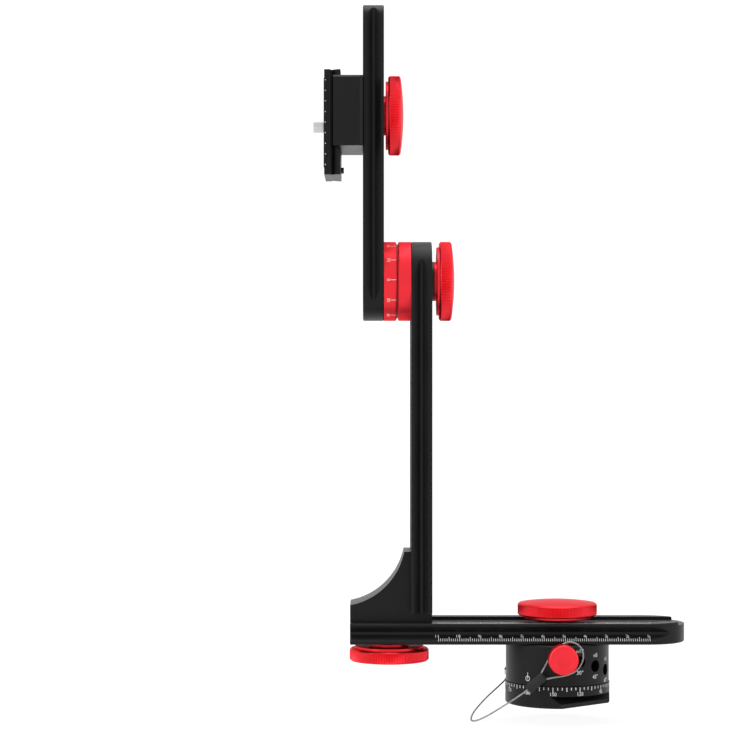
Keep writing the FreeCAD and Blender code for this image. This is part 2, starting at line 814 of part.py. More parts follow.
def make_plunger():
    """The sprung index plunger, whose cone drops into the drum's pits."""
    row = "top_row_height"
    bore = "(pin_radius + plunger_fit)"
    start = f"({DRUM_RADIUS} + drum_gap + sleeve_inset)"
    long = f"({SLEEVE_END} - {start})"
    wall = f"({HOUSING_RADIUS} - {start})"
    turned(
        "plunger_sleeve",
        [
            ("sleeve_chamber_radius", "0"),
            ("sleeve_thread_radius", "0"),
            ("sleeve_thread_radius", wall),
            ("sleeve_collar_radius", wall),
            ("sleeve_collar_radius", long),
            (bore, long),
            (bore, f"{long} - sleeve_end_wall"),
            ("sleeve_chamber_radius", f"{long} - sleeve_end_wall"),
        ],
        y=f"-{start}",
        z=row,
        rotation=FRONT,
    )
    collar_end = "(pin_collar_at + pin_collar_length)"
    turned(
        "plunger_pin",
        [
            ("0", "0"),
            ("pin_radius", "pin_radius"),
            ("pin_radius", "pin_collar_at"),
            ("pin_collar_radius", "pin_collar_at"),
            ("pin_collar_radius", collar_end),
            ("pin_radius", collar_end),
            ("pin_radius", "pin_length"),
            ("0", "pin_length"),
        ],
        y=f"-{PIN_TIP}",
        z=row,
        rotation=FRONT,
    )
    knob_back = f"({SLEEVE_END} + plunger_knob_gap)"
    knob_bore = f"({PIN_TIP} + pin_length - {knob_back})"
    rim = "(plunger_knob_radius - plunger_knob_rim)"
    dish = f"(({rim})^2 + plunger_knob_dish^2) / (2 * plunger_knob_dish)"
    turned(
        "plunger_knob",
        [
            ("pin_radius", "0"),
            (f"{rim}", "0"),
            ("plunger_knob_radius", "plunger_knob_rim"),
            ("plunger_knob_radius", "plunger_knob_length - plunger_knob_rim", "plunger_knob_rim", 1),
            (rim, "plunger_knob_length", dish, -1),
            ("0", "plunger_knob_length - plunger_knob_dish"),
            ("0", knob_bore),
            ("pin_radius", knob_bore),
        ],
        y=f"-{knob_back}",
        z=row,
        rotation=FRONT,
    )
    seat = f"({PIN_TIP} + {collar_end})"
    coil = coil_spring(
        f"{SLEEVE_END} - sleeve_end_wall - {seat}",
        "sleeve_chamber_radius - 2 * spring_wire",
        "spring_wire",
        "spring_turns",
    )
    shaped("plunger_spring", coil, Placement(Vector(0, -value(seat), value(row)), FRONT))


# ---------------------------------------------------------------- rails


def rail_plan(length, start, end):
    """The rail's outline in plan. Each end is square (""), round ("round") or has a corner radius."""
    half = "(rail_width / 2)"
    corners = []
    if start == "round":
        corners += [(half, f"{half}", half, 1), ("0", "0", half, 1), (half, f"-{half}")]
    else:
        corners += [("0", half), ("0", f"-{half}")]
    if end == "round":
        corners += [
            (f"{length} - {half}", f"-{half}", half, 1),
            (length, "0", half, 1),
            (f"{length} - {half}", half),
        ]
    elif end:
        corners += [
            (f"{length} - {end}", f"-{half}", end, 1),
            (length, f"{end} - {half}"),
            (length, f"{half} - {end}", end, 1),
            (f"{length} - {end}", half),
        ]
    else:
        corners += [(length, f"-{half}"), (length, half)]
    return corners


def slot_outline(start, end, half_width, centre="0"):
    """A round-ended slot along X from start to end."""
    low, high = f"({centre} - {half_width})", f"({centre} + {half_width})"
    return [
        (f"{start} + {half_width}", low),
        (f"{end} - {half_width}", low, half_width, 1),
        (end, centre, half_width, 1),
        (f"{end} - {half_width}", high),
        (f"{start} + {half_width}", high, half_width, 1),
        (start, centre, half_width, 1),
    ]


def level_edges(shape, above=-TOLERANCE):
    """The names of the edges that lie in one level plane above a height."""
    return [
        f"Edge{n + 1}"
        for n, edge in enumerate(shape.Edges)
        if edge.BoundBox.ZLength < TOLERANCE and edge.BoundBox.ZMin > above
    ]


def rail_body(name, length, start, end, slot_start, slot_end, recess_start, recess_end):
    """A slotted double-dovetail rail along +X, plain face down, recessed face up."""
    body = new_body(name)
    plan = new_sketch(body, f"{name}_plan", "XY_Plane")
    outline(plan, rail_plan(length, start, end))
    pad = feature(body, "Pad", plan, "rail_thickness")
    doc.recompute()
    edges = body.newObject("PartDesign::Chamfer", f"{name}_edges")
    edges.Base = (pad, level_edges(pad.Shape))
    edges.setExpression("Size", bound("rail_edge"))
    section = new_sketch(body, f"{name}_section", "YZ_Plane")
    half, outside = "(rail_width / 2)", "(rail_width / 2 + groove_depth)"
    for side in ("", "-"):
        outline(
            section,
            [
                (f"{side}{outside}", "plain_land - groove_depth"),
                (f"{side}({half} - groove_depth)", "plain_land + groove_depth"),
                (f"{side}({half} - groove_depth)", "rail_thickness - recess_land - groove_depth"),
                (f"{side}{outside}", "rail_thickness - recess_land + groove_depth"),
            ],
        )
    feature(body, "Pocket", section, f"3 * {length}", Midplane=True)
    recess = new_sketch(body, f"{name}_recess", "XY_Plane", "rail_thickness")
    outline(recess, slot_outline(recess_start, recess_end, "(recess_width / 2)"))
    feature(body, "Pocket", recess, "recess_depth")
    slot = new_sketch(body, f"{name}_slot", "XY_Plane")
    outline(slot, slot_outline(slot_start, slot_end, "(slot_width / 2)"))
    feature(body, "Pocket", slot, "rail_thickness", Reversed=True)
    return body


def make_lower_rail():
    body = rail_body(
        "horizontal_rail",
        "lower_length",
        "",
        "round",
        "lower_slot_start",
        "lower_slot_end",
        "-recess_width",
        "(lower_length + recess_width)",
    )
    keep("horizontal_rail", place(body, "-lower_left_reach", "0", HOUSING_TOP))
    turned(
        "rail_knob_washer",
        ring_profile("stud_radius + bolt_fit", "washer_radius", "washer_thickness"),
        z=RAIL_FLOOR,
    )
    lock_knob(
        "rail_lock_knob", "stud_radius + bolt_fit", "0", "0", f"{RAIL_FLOOR} + washer_thickness", UP
    )


def make_arm():
    """The standing arm, screwed to the bracket and bored for the elevation bolt."""
    body = rail_body(
        "vertical_arm",
        "arm_length",
        "",
        "round",
        "arm_slot_start",
        "arm_slot_end",
        "-recess_width",
        "(arm_length - pivot_from_arm_top + tongue_half_length + tongue_fit)",
    )
    screws = ("arm_screw_low", "arm_screw_high")
    holes = [(at, "0", "arm_screw_radius + screw_fit") for at in screws]
    holes.append(("arm_length - pivot_from_arm_top", "0", "bolt_radius + bolt_fit"))
    bores(body, "arm_bores", holes, "rail_thickness")
    seats = [(at, "0", "arm_screw_head + screw_fit") for at in screws]
    bores(body, "arm_screw_seats", seats, "arm_screw_head_height + screw_fit")
    keep("vertical_arm", place(body, ARM_RIGHT, "0", ARM_BOTTOM, STANDING_RECESS_LEFT))
    length = "(rail_thickness - arm_screw_head_height - screw_fit + arm_screw_reach)"
    screw = screw_shape("arm_screw_radius", length, "arm_screw_head", "arm_screw_head_height")
    seat = value(f"{ARM_RIGHT} - arm_screw_head_height - screw_fit")
    spots = [Placement(Vector(seat, 0, value(f"{ARM_BOTTOM} + {at}")), RIGHT) for at in screws]
    screw_group("arm_screws", screw, spots)


def make_upper_rail():
    body = rail_body(
        "upper_rail",
        "upper_length",
        "round",
        "upper_corner",
        "upper_slot_start",
        "upper_slot_end",
        "(rail_width / 2 - tongue_half_length - tongue_fit)",
        "(upper_length + recess_width)",
    )
    pivot = "(rail_width / 2)"
    sides = (f"{pivot} - ring_screw_offset", f"{pivot} + ring_screw_offset")
    holes = [(at, "0", "ring_screw_radius + screw_fit") for at in sides]
    holes.append((pivot, "0", "bolt_radius + screw_fit"))
    bores(body, "pivot_bores", holes, "rail_thickness")
    seats = [(at, "0", "ring_screw_head + screw_fit") for at in sides]
    bores(body, "ring_screw_seats", seats, "ring_screw_head_height + screw_fit")
    head = [(pivot, "0", "bolt_head_radius + screw_fit")]
    bores(body, "bolt_head_seat", head, "bolt_head_height + screw_fit")
    keep("upper_rail", place(body, UPPER_LEFT, "0", UPPER_BOTTOM, STANDING_RECESS_RIGHT))


# ---------------------------------------------------------------- corner bracket


def make_bracket():
    """The hollow-faced corner bracket, with tongues in the recesses of both rails."""
    body = new_body("corner_bracket")
    left = "(-lower_left_reach)"
    seat = ARM_LEFT
    foot = RAIL_TOP
    side = new_sketch(body, "bracket_side", "XZ_Plane")
    outline(
        side,
        [
            (left, foot),
            (ARM_RIGHT, foot),
            (ARM_RIGHT, ARM_BOTTOM),
            (seat, ARM_BOTTOM),
            (seat, f"{ARM_BOTTOM} + bracket_top"),
            (f"{seat} - bracket_web", f"{ARM_BOTTOM} + bracket_top", "bracket_arc", -1),
            (left, f"{foot} + bracket_left_height"),
        ],
    )
    feature(body, "Pad", side, "bracket_width", Midplane=True)
    tongue = new_sketch(body, "bracket_tongues", "XZ_Plane")
    outline(
        tongue,
        box_corners(left, ARM_RIGHT, f"{foot} - {TONGUE_DEPTH}", f"{foot} + bracket_ledge / 2"),
    )
    outline(
        tongue,
        box_corners(
            f"{seat} - bracket_web / 2",
            f"{seat} + {TONGUE_DEPTH}",
            f"{ARM_BOTTOM} + tongue_fit",
            f"{ARM_BOTTOM} + bracket_top",
        ),
    )
    feature(body, "Pad", tongue, TONGUE_WIDTH, Midplane=True)
    bores(
        body,
        "bracket_stud_thread",
        [(BRACKET_BOLT, "0", "stud_radius")],
        f"bracket_stud_depth + {TONGUE_DEPTH}",
        f"{foot} - {TONGUE_DEPTH}",
    )
    threads = new_sketch(body, "arm_screw_threads", "YZ_Plane", f"{seat} + {TONGUE_DEPTH}")
    for at in ("arm_screw_low", "arm_screw_high"):
        circle(threads, "0", f"{ARM_BOTTOM} + {at}", "arm_screw_radius")
    feature(body, "Pocket", threads, f"arm_screw_reach + {TONGUE_DEPTH}")
    keep("corner_bracket", body)
    stud_bottom = f"({HOUSING_TOP} - washer_thickness - stud_in_knob)"
    stud_top = f"({foot} + bracket_stud_depth)"
    turned(
        "bracket_stud",
        stud_profile("stud_radius", f"({stud_top} - {stud_bottom})"),
        x=BRACKET_BOLT,
        z=stud_bottom,
    )
    turned(
        "bracket_knob_washer",
        ring_profile("stud_radius + bolt_fit", "washer_radius", "washer_thickness"),
        x=BRACKET_BOLT,
        z=f"{HOUSING_TOP} - washer_thickness",
    )
    lock_knob(
        "bracket_lock_knob",
        "stud_radius + bolt_fit",
        BRACKET_BOLT,
        "0",
        f"{HOUSING_TOP} - washer_thickness",
        DOWN,
    )


# ---------------------------------------------------------------- elevation pivot


def pivot_ring(name, thickness, bore, x, rotation, threads=()):
    """A ring on the elevation axis, with a tongue in the recess of the rail that carries it."""
    body = new_body(name)
    face = new_sketch(body, f"{name}_face", "XY_Plane")
    circle(face, "0", "0", "ring_radius")
    pad = feature(body, "Pad", face, thickness)
    doc.recompute()
    edge = body.newObject("PartDesign::Chamfer", f"{name}_edge")
    edge.Base = (pad, level_edges(pad.Shape, TOLERANCE))
    edge.setExpression("Size", bound("ring_edge"))
    tongue = new_sketch(body, f"{name}_tongue", "XY_Plane")
    ends = ("-tongue_half_length", "tongue_half_length")
    outline(tongue, slot_outline(*ends, f"({TONGUE_WIDTH} / 2)"))
    feature(body, "Pad", tongue, TONGUE_DEPTH, Reversed=True)
    bores(body, f"{name}_bore", [("0", "0", bore)], f"{thickness} + 2 * {TONGUE_DEPTH}", f"-{TONGUE_DEPTH}")
    if threads:
        depth = "ring_screw_length - rail_thickness + ring_screw_head_height + recess_depth + screw_fit"
        bores(body, f"{name}_threads", threads, depth, f"-{TONGUE_DEPTH}")
    return keep(name, place(body, x, "0", PIVOT_HEIGHT, rotation))


def make_pivot():
    pivot_ring("fixed_pivot_ring", "fixed_ring_thickness", "bolt_radius + bolt_fit", ARM_LEFT, LEFT)
    threads = [
        (f"{side}ring_screw_offset", "0", "ring_screw_radius") for side in ("", "-")
    ]
    pivot_ring(
        "scale_ring", "scale_ring_thickness", "bolt_radius + screw_fit", UPPER_RIGHT, RIGHT, threads
    )
    screw = screw_shape("ring_screw_radius", "ring_screw_length", "ring_screw_head", "ring_screw_head_height")
    seat = value(f"{UPPER_LEFT} + ring_screw_head_height + screw_fit")
    spots = [
        Placement(Vector(seat, 0, value(f"{PIVOT_HEIGHT} {side} ring_screw_offset")), LEFT)
        for side in ("-", "+")
    ]
    screw_group("scale_ring_screws", screw, spots)
    turned(
        "pivot_friction_washer",
        ring_profile("bolt_radius + bolt_fit", "friction_radius", "friction_washer"),
        x=SCALE_FACE,
        z=PIVOT_HEIGHT,
        rotation=RIGHT,
    )
    under_head = f"({UPPER_LEFT} + bolt_head_height + screw_fit)"
    tip = f"({ARM_RIGHT} + washer_thickness + stud_in_knob)"
    bolt = screw_shape("bolt_radius", f"{tip} - {under_head}", "bolt_head_radius", "bolt_head_height")
    shaped("pivot_bolt", bolt, Placement(point(under_head, "0", PIVOT_HEIGHT), LEFT))
    turned(
        "pivot_knob_washer",
        ring_profile("bolt_radius + bolt_fit", "washer_radius", "washer_thickness"),
        x=ARM_RIGHT,
        z=PIVOT_HEIGHT,
        rotation=RIGHT,
    )
    lock_knob(
        "pivot_lock_knob",
        "bolt_radius + bolt_fit",
        f"{ARM_RIGHT} + washer_thickness",
        "0",
        PIVOT_HEIGHT,
        RIGHT,
    )


# ---------------------------------------------------------------- camera clamp

# The clamp's section is drawn with -X away from the rail, as it stands. Its length runs along Z.
PLATE_BEVEL_START = f"({PLATE_BASE} + plate_flange)"
JAW_FACE = "(plate_half_width + plate_fit)"
LIP = f"({JAW_FACE} - clamp_height + {PLATE_BEVEL_START})"


def section_pad(body, name, corners, length):
    sketch = new_sketch(body, name, "XY_Plane")
    outline(sketch, corners)
    return feature(body, "Pad", sketch, length, Midplane=True)


def rim_chamfer(body, pad, name, face_y):
    """Breaks the end edges of the jaw's outer face."""
    doc.recompute()
    level = value(face_y)
    picked = []
    for n, edge in enumerate(pad.Shape.Edges):
        box = edge.BoundBox
        at_end = box.ZLength < TOLERANCE and abs(abs(box.ZMin) - value("clamp_length / 2")) < TOLERANCE
        if at_end and box.YLength < TOLERANCE and abs(box.YMin - level) < TOLERANCE:
            picked.append(f"Edge{n + 1}")
    chamfer = body.newObject("PartDesign::Chamfer", name)
    chamfer.Base = (pad, picked)
    chamfer.setExpression("Size", bound("clamp_rim"))


def side_bores(body, name, circles, depth, start):
    """Holes along +Y from a plane across the clamp."""
    sketch = new_sketch(body, name, "XZ_Plane", f"-({start})")
    for x, z, radius in circles:
        circle(sketch, x, z, radius)
    return feature(body, "Pocket", sketch, depth)


def make_clamp_body():
    """The fixed half of the clamp, with its jaw in front and two keys in the upper rail's slot."""
    body = new_body("clamp_blank")
    front = "(-clamp_half_width)"
    pad = section_pad(
        body,
        "clamp_section",
        [
            ("0", "jaw_seam"),
            ("-clamp_floor", "jaw_seam"),
            ("-clamp_floor", f"-{JAW_FACE}"),
            (f"-{PLATE_BEVEL_START}", f"-{JAW_FACE}"),
            ("-clamp_height", f"-{LIP}"),
            ("-clamp_height", front),
            ("-clamp_edge", front),
            ("0", f"{front} + clamp_edge"),
        ],
        "clamp_length",
    )
    rim_chamfer(body, pad, "clamp_rim_edges", front)
    keys = new_sketch(body, "clamp_keys", "YZ_Plane")
    for side in ("", "-"):
        near = f"{side}(key_spacing / 2 - key_length / 2)"
        far = f"{side}(key_spacing / 2 + key_length / 2)"
        outline(keys, box_corners("-key_width / 2", "key_width / 2", near, far))
    feature(body, "Pad", keys, "key_proud")
    hole = new_sketch(body, "clamp_bolt_hole", "YZ_Plane")
    circle(hole, "0", "0", "stud_radius + screw_fit")
    feature(body, "Pocket", hole, "clamp_floor")
    seat = new_sketch(body, "clamp_bolt_seat", "YZ_Plane", "-clamp_floor")
    circle(seat, "0", "0", "clamp_bolt_head + screw_fit")
    feature(body, "Pocket", seat, "clamp_bolt_head_height + screw_fit", Reversed=True)
    guide_bore = "guide_radius + plunger_fit"
    guides = [("-jaw_screw_height", f"{side}guide_offset", guide_bore) for side in ("", "-")]
    side_bores(body, "guide_bores", guides, "jaw_seam - guide_start", "guide_start")
    thread = [("-jaw_screw_height", "0", "jaw_screw_radius + plunger_fit")]
    side_bores(body, "jaw_thread", thread, "jaw_seam - jaw_screw_start", "jaw_screw_start")
    wells = [("-jaw_screw_height", f"{side}guide_offset", "guide_spring_radius") for side in ("", "-")]
    side_bores(body, "spring_wells", wells, "guide_spring_depth", "jaw_seam - guide_spring_depth")
    body.Label = "clamp_body"
    keep("clamp_body", place(body, UPPER_LEFT, "0", CLAMP_CENTRE))


def make_jaw():
    """The moving half of the clamp, with its guide pins, springs, screw and hand knob."""
    body = new_body("clamp_jaw")
    back = "clamp_half_width"
    start = "(jaw_seam + jaw_gap)"
    pad = section_pad(
        body,
        "jaw_section",
        [
            ("-jaw_lift", start),
            ("-jaw_lift", f"{back} - clamp_edge + jaw_lift"),
            ("-clamp_edge", back),
            ("-clamp_height", back),
            ("-clamp_height", LIP),
            (f"-{PLATE_BEVEL_START}", JAW_FACE),
            ("-clamp_floor", JAW_FACE),
            ("-clamp_floor", start),
        ],
        "clamp_length",
    )
    rim_chamfer(body, pad, "jaw_rim_edges", back)
    guides = [("-jaw_screw_height", f"{side}guide_offset", "guide_radius") for side in ("", "-")]
    side_bores(body, "jaw_guide_seats", guides, f"guide_end - {start}", start)
    bore = [("-jaw_screw_height", "0", "jaw_screw_radius + plunger_fit")]
    side_bores(body, "jaw_screw_bore", bore, f"{back} - {start}", start)
    keep("clamp_jaw", place(body, UPPER_LEFT, "0", CLAMP_CENTRE))
    centre_x = f"{UPPER_LEFT} - jaw_screw_height"
    pins, coils = [], []
    for side in ("-", "+"):
        height = f"{CLAMP_CENTRE} {side} guide_offset"
        long, start_point = value("guide_end - guide_start"), point(centre_x, "guide_start", height)
        pins.append(Part.makeCylinder(value("guide_radius"), long, start_point, Vector(0, 1, 0)))
        coil = coil_spring(
            "guide_spring_depth + jaw_gap", "jaw_spring_radius", "jaw_spring_wire", "jaw_spring_turns"
        )
        well = point(centre_x, "jaw_seam - guide_spring_depth", height)
        coil.Placement = Placement(well, BACK) * coil.Placement
        coils.append(coil)
    shaped("jaw_guide_pins", Part.makeCompound(pins))
    shaped("jaw_springs", Part.makeCompound(coils))
    knob_start = f"({back} + jaw_lift)"
    knob_bore = "(jaw_knob_neck + jaw_knob_length / 2)"
    turned(
        "jaw_screw",
        stud_profile("jaw_screw_radius", f"({knob_start} + {knob_bore} - jaw_screw_start)"),
        x=centre_x,
        y="jaw_screw_start",
        z=CLAMP_CENTRE,
        rotation=BACK,
    )
    knob_end = "(jaw_knob_neck + jaw_knob_length)"
    turned(
        "jaw_knob",
        [
            ("jaw_screw_radius", "0"),
            ("jaw_knob_neck_radius", "0"),
            ("jaw_knob_neck_radius", "jaw_knob_neck"),
            ("jaw_knob_radius - jaw_knob_edge", "jaw_knob_neck"),
            ("jaw_knob_radius", "jaw_knob_neck + jaw_knob_edge"),
            ("jaw_knob_radius", f"{knob_end} - jaw_knob_edge"),
            ("jaw_knob_radius - jaw_knob_edge", knob_end),
            ("0", knob_end),
            ("0", knob_bore),
            ("jaw_screw_radius", knob_bore),
        ],
        x=centre_x,
        y=knob_start,
        z=CLAMP_CENTRE,
        rotation=BACK,
    )


def make_clamp():
    make_clamp_body()
    make_jaw()
    knob_face = f"({UPPER_RIGHT} - recess_depth)"
    under_head = f"({UPPER_LEFT} - clamp_floor + clamp_bolt_head_height + screw_fit)"
    tip = f"({knob_face} + washer_thickness + stud_in_knob)"
    bolt = screw_shape("stud_radius", f"{tip} - {under_head}", "clamp_bolt_head", "clamp_bolt_head_height")
    shaped("clamp_bolt", bolt, Placement(point(under_head, "0", CLAMP_CENTRE), LEFT))
    turned(
        "clamp_knob_washer",
        ring_profile("stud_radius + bolt_fit", "washer_radius", "washer_thickness"),
        x=knob_face,
        z=CLAMP_CENTRE,
        rotation=RIGHT,
    )
    lock_knob(
        "clamp_lock_knob",
        "stud_radius + bolt_fit",
        f"{knob_face} + washer_thickness",
        "0",
        CLAMP_CENTRE,
        RIGHT,
    )


# ---------------------------------------------------------------- quick-release plate

PLATE_FACE = f"({UPPER_LEFT} - {PLATE_BASE} - plate_thickness)"
PLATE_CENTRE = f"({PLATE_TOP} - plate_length / 2)"


def make_plate():
    """The camera plate: a dovetail that slides in the clamp, slotted for the camera screw."""
    body = new_body("quick_release_plate")
    base = PLATE_BASE
    top = f"({base} + plate_thickness)"
    lip = f"({top} - plate_top)"
    neck = "(plate_half_width - plate_bevel)"
    flange = f"({base} + plate_flange)"
    shoulder = f"({flange} + plate_bevel)"
    section_pad(
        body,
        "plate_section",
        [
            (f"-{base}", "-plate_half_width"),
            (f"-{flange}", "-plate_half_width"),
            (f"-{shoulder}", f"-{neck}"),
            (f"-{lip}", f"-{neck}"),
            (f"-{lip}", "-plate_half_width"),
            (f"-{top}", "-plate_half_width"),
            (f"-{top}", "plate_half_width"),
            (f"-{lip}", "plate_half_width"),
            (f"-{lip}", neck),
            (f"-{shoulder}", neck),
            (f"-{flange}", "plate_half_width"),
            (f"-{base}", "plate_half_width"),
        ],
        "plate_length",
    )
    for name, half_width, depth in (
        ("camera_slot", "(plate_slot_width / 2)", "plate_thickness"),
        ("camera_recess", "(plate_recess_width / 2)", "plate_recess_depth"),
    ):
        sketch = new_sketch(body, name, "YZ_Plane", f"-{base}")
        reach = f"(plate_slot_length / 2 + {half_width})"
        outline(sketch, [flip(corner) for corner in slot_outline(f"-{reach}", reach, half_width)])
        feature(body, "Pocket", sketch, depth)
    pads = new_sketch(body, "pad_seats", "YZ_Plane", f"-{top}")
    for side in ("", "-"):
        outline(pads, pad_outline(side))
    feature(body, "Pocket", pads, "pad_inset", Reversed=True)
    threads = new_sketch(body, "stop_threads", "YZ_Plane", f"-{base}")
    circle(threads, "0", "stop_screw_from_foot - plate_length / 2", "stop_screw_shank")
    circle(threads, "0", "plate_length / 2 - stop_screw_from_top", "stop_screw_shank")
    feature(body, "Pocket", threads, "stop_screw_depth")
    keep("quick_release_plate", place(body, UPPER_LEFT, "0", PLATE_CENTRE))
    make_pads()
    make_camera_screw()
    screw = screw_shape("stop_screw_shank", "stop_screw_depth", "stop_screw_radius", "stop_screw_height")
    heights = (f"{PLATE_TOP} - plate_length + stop_screw_from_foot", f"{PLATE_TOP} - stop_screw_from_top")
    spots = [Placement(point(f"{UPPER_LEFT} - {base}", "0", height), RIGHT) for height in heights]
    screw_group("plate_stop_screws", screw, spots)


def flip(corner):
    """Turns an outline along X into the same one along Y, and its arcs with it."""
    return (corner[1], corner[0], *corner[2:3], *(-turn for turn in corner[3:]))


def pad_outline(side):
    low, high = "(pad_centre - pad_width / 2)", "(pad_centre + pad_width / 2)"
    return box_corners(f"{side}{low}", f"{side}{high}", "-pad_length / 2", "pad_length / 2")


def make_pads():
    strips = []
    for side in (-1, 1):
        strip = Part.makeBox(value("pad_inset + pad_proud"), value("pad_width"), value("pad_length"))
        middle = side * value("pad_centre") - value("pad_width") / 2
        strip.translate(Vector(-value("pad_proud"), middle, -value("pad_length") / 2))
        strips.append(strip)
    shaped("plate_pads", Part.makeCompound(strips), Placement(point(PLATE_FACE, "0", PLATE_CENTRE), UP))


def make_camera_screw():
    """The camera screw: a slotted head in the plate's recess, a waist, and the thread that stands out."""
    waist = "(camera_head_height + plate_thickness - plate_recess_depth + camera_thread_start)"
    tip = f"({waist} + camera_thread_length)"
    body = turned_body(
        "camera_screw",
        [
            ("0", "0"),
            ("camera_head_radius", "0"),
            ("camera_head_radius", "camera_head_height"),
            ("camera_waist_radius", "camera_head_height"),
            ("camera_waist_radius", waist),
            ("camera_thread_radius", waist),
            ("camera_thread_radius", tip),
            ("0", tip),
        ],
    )
    slot = new_sketch(body, "coin_slot", "XY_Plane")
    sides = ("-coin_slot_width / 2", "coin_slot_width / 2")
    outline(slot, box_corners("-camera_head_radius", "camera_head_radius", *sides))
    feature(body, "Pocket", slot, "coin_slot_depth", Reversed=True)
    head_face = f"{UPPER_LEFT} - {PLATE_BASE} - plate_recess_depth + camera_head_height"
    keep("camera_screw", place(body, head_face, "0", PLATE_CENTRE, LEFT))


# ---------------------------------------------------------------- lanyard


def anchor_direction():
    angle = math.radians(value("anchor_angle"))
    return Vector(math.cos(angle), math.sin(angle), 0)


# The wire leaves its anchor screw beside the housing, hangs past the foot and comes round to the sleeve.
LEAD_ROUTE = [
    (-22.5, 11.7, 12.1),
    (-24.2, 9.9, 9.1),
    (-26.9, 7.8, 7.0),
    (-29.5, 5.5, 5.0),
    (-33.6, 1.8, 2.0),
    (-37.6, -2.3, -1.4),
    (-41.0, -7.0, -4.7),
    (-42.3, -12.5, -7.2),
    (-40.4, -17.6, -6.8),
    (-36.2, -20.8, -4.6),
    (-31.0, -22.8, -1.2),
    (-25.6, -24.3, 2.5),
    (-20.2, -25.6, 6.2),
    (-15.3, -26.7, 9.9),
]
# The eye leaves the sleeve, passes round the plunger's neck and comes back beside itself.
EYE_ROUTE = [
    (-7.9, -28.5, 14.5),
    (-4.2, -28.0, 15.3),
    (1.6, -27.5, 16.0),
    (7.2, -27.3, 18.3),
    (10.4, -27.3, 24.2),
    (8.9, -27.3, 30.2),
    (3.0, -27.3, 32.5),
    (-1.9, -27.3, 29.3),
    (-5.9, -27.4, 24.6),
    (-8.0, -27.9, 20.4),
    (-10.0, -28.4, 17.2),
]


def rounded_path(name, route):
    """Straight runs joined by arcs as large as their runs allow, and their length."""
    spots = [Vector(*spot) for spot in route]
    edges, radii = [], []
    start = spots[0]
    for before, corner, after in zip(spots, spots[1:], spots[2:]):
        back, ahead = before - corner, after - corner
        turn = math.pi - back.getAngle(ahead)
        reach = BEND_SHARE * min(back.Length, ahead.Length)
        radii.append(reach / math.tan(turn / 2))
        entry = corner + back.normalize() * reach
        exit_ = corner + ahead.normalize() * reach
        towards = (back + ahead).normalize()
        sagitta = radii[-1] / math.cos(turn / 2) - radii[-1]
        edges.append(Part.LineSegment(start, entry).toShape())
        edges.append(Part.Arc(entry, corner + towards * sagitta, exit_).toShape())
        start = exit_
    edges.append(Part.LineSegment(start, spots[-1]).toShape())
    wire = Part.Wire(edges)
    print(name, "length", round(wire.Length, 1), "radii", [round(radius, 1) for radius in radii])
    return wire


def wire_tube(name, route):
    path = rounded_path(name, route)
    direction = Vector(*route[1]) - Vector(*route[0])
    section = Part.Wire(Part.makeCircle(value("wire_radius"), Vector(*route[0]), direction))
    tube = path.makePipeShell([section], True, True)
    shape = shaped(name, tube)
    expected = math.pi * value("wire_radius") ** 2 * path.Length
    print(name, "volume", round(tube.Volume, 2), "expected", round(expected, 2))
    return shape


def make_lanyard():
    anchor = anchor_direction()
    length = "anchor_depth + anchor_stand_off"
    screw = screw_shape("anchor_radius", length, "anchor_head_radius", "anchor_head_height")
    reach = value(f"{HOUSING_RADIUS} + anchor_stand_off")
    seat = anchor * reach + Vector(0, 0, value("anchor_height"))
    shaped("lanyard_anchor", screw, Placement(seat, Rotation(Vector(0, 0, 1), anchor)))
    lead_end = Vector(*LEAD_ROUTE[-1])
    along = (Vector(*EYE_ROUTE[0]) + Vector(*EYE_ROUTE[-1])) / 2 - lead_end
    long, grip = along.Length, value("crimp_grip")
    start = lead_end - along.normalize() * grip
    sleeve = Part.makeCylinder(value("crimp_radius"), long + 2 * grip, start, along)
    shaped("lanyard_crimp", sleeve)
    wire_tube("lanyard_lead", LEAD_ROUTE)
    wire_tube("lanyard_eye", EYE_ROUTE)


# ---------------------------------------------------------------- the whole head


def check_document():
    """Stops if any object failed, or any node is empty or not a valid shape."""
    for item in doc.Objects:
        if {"Invalid", "Error"} & set(item.State):
            raise RuntimeError(f"{item.Label} failed: {item.State}")
    for item in doc.Objects:
        base = getattr(item, "BaseFeature", None)
        if item.TypeId in ("PartDesign::Pocket", "PartDesign::Groove") and base:
            if item.Shape.Volume > base.Shape.Volume - TOLERANCE:
                raise RuntimeError(f"{item.Label} cuts nothing")
    for name, piece in nodes.items():
        shape = piece.Shape
        if shape.isNull() or not shape.isValid() or not shape.Solids:
            raise RuntimeError(f"{name} has no valid solid")


def write_parts():
    os.makedirs("parts", exist_ok=True)
    for name, piece in nodes.items():
        piece.Shape.exportStep(f"parts/{name}.step")


make_rotator()
make_plunger()
make_lower_rail()
make_bracket()
make_arm()
make_pivot()
make_upper_rail()
make_clamp()
make_plate()
make_lanyard()
doc.recompute()
check_document()
write_parts()
print(len(nodes), "nodes")
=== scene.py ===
# %% [markdown]
# A panoramic tripod head turns a camera about the middle of its lens. It has an indexed
# turntable, a long ruled rail, a standing arm, an elevation pivot and a clamp for the camera.
# This lesson dresses the engineer's solids: they are loaded first, and every piece made here is
# in the same frame, in metres.

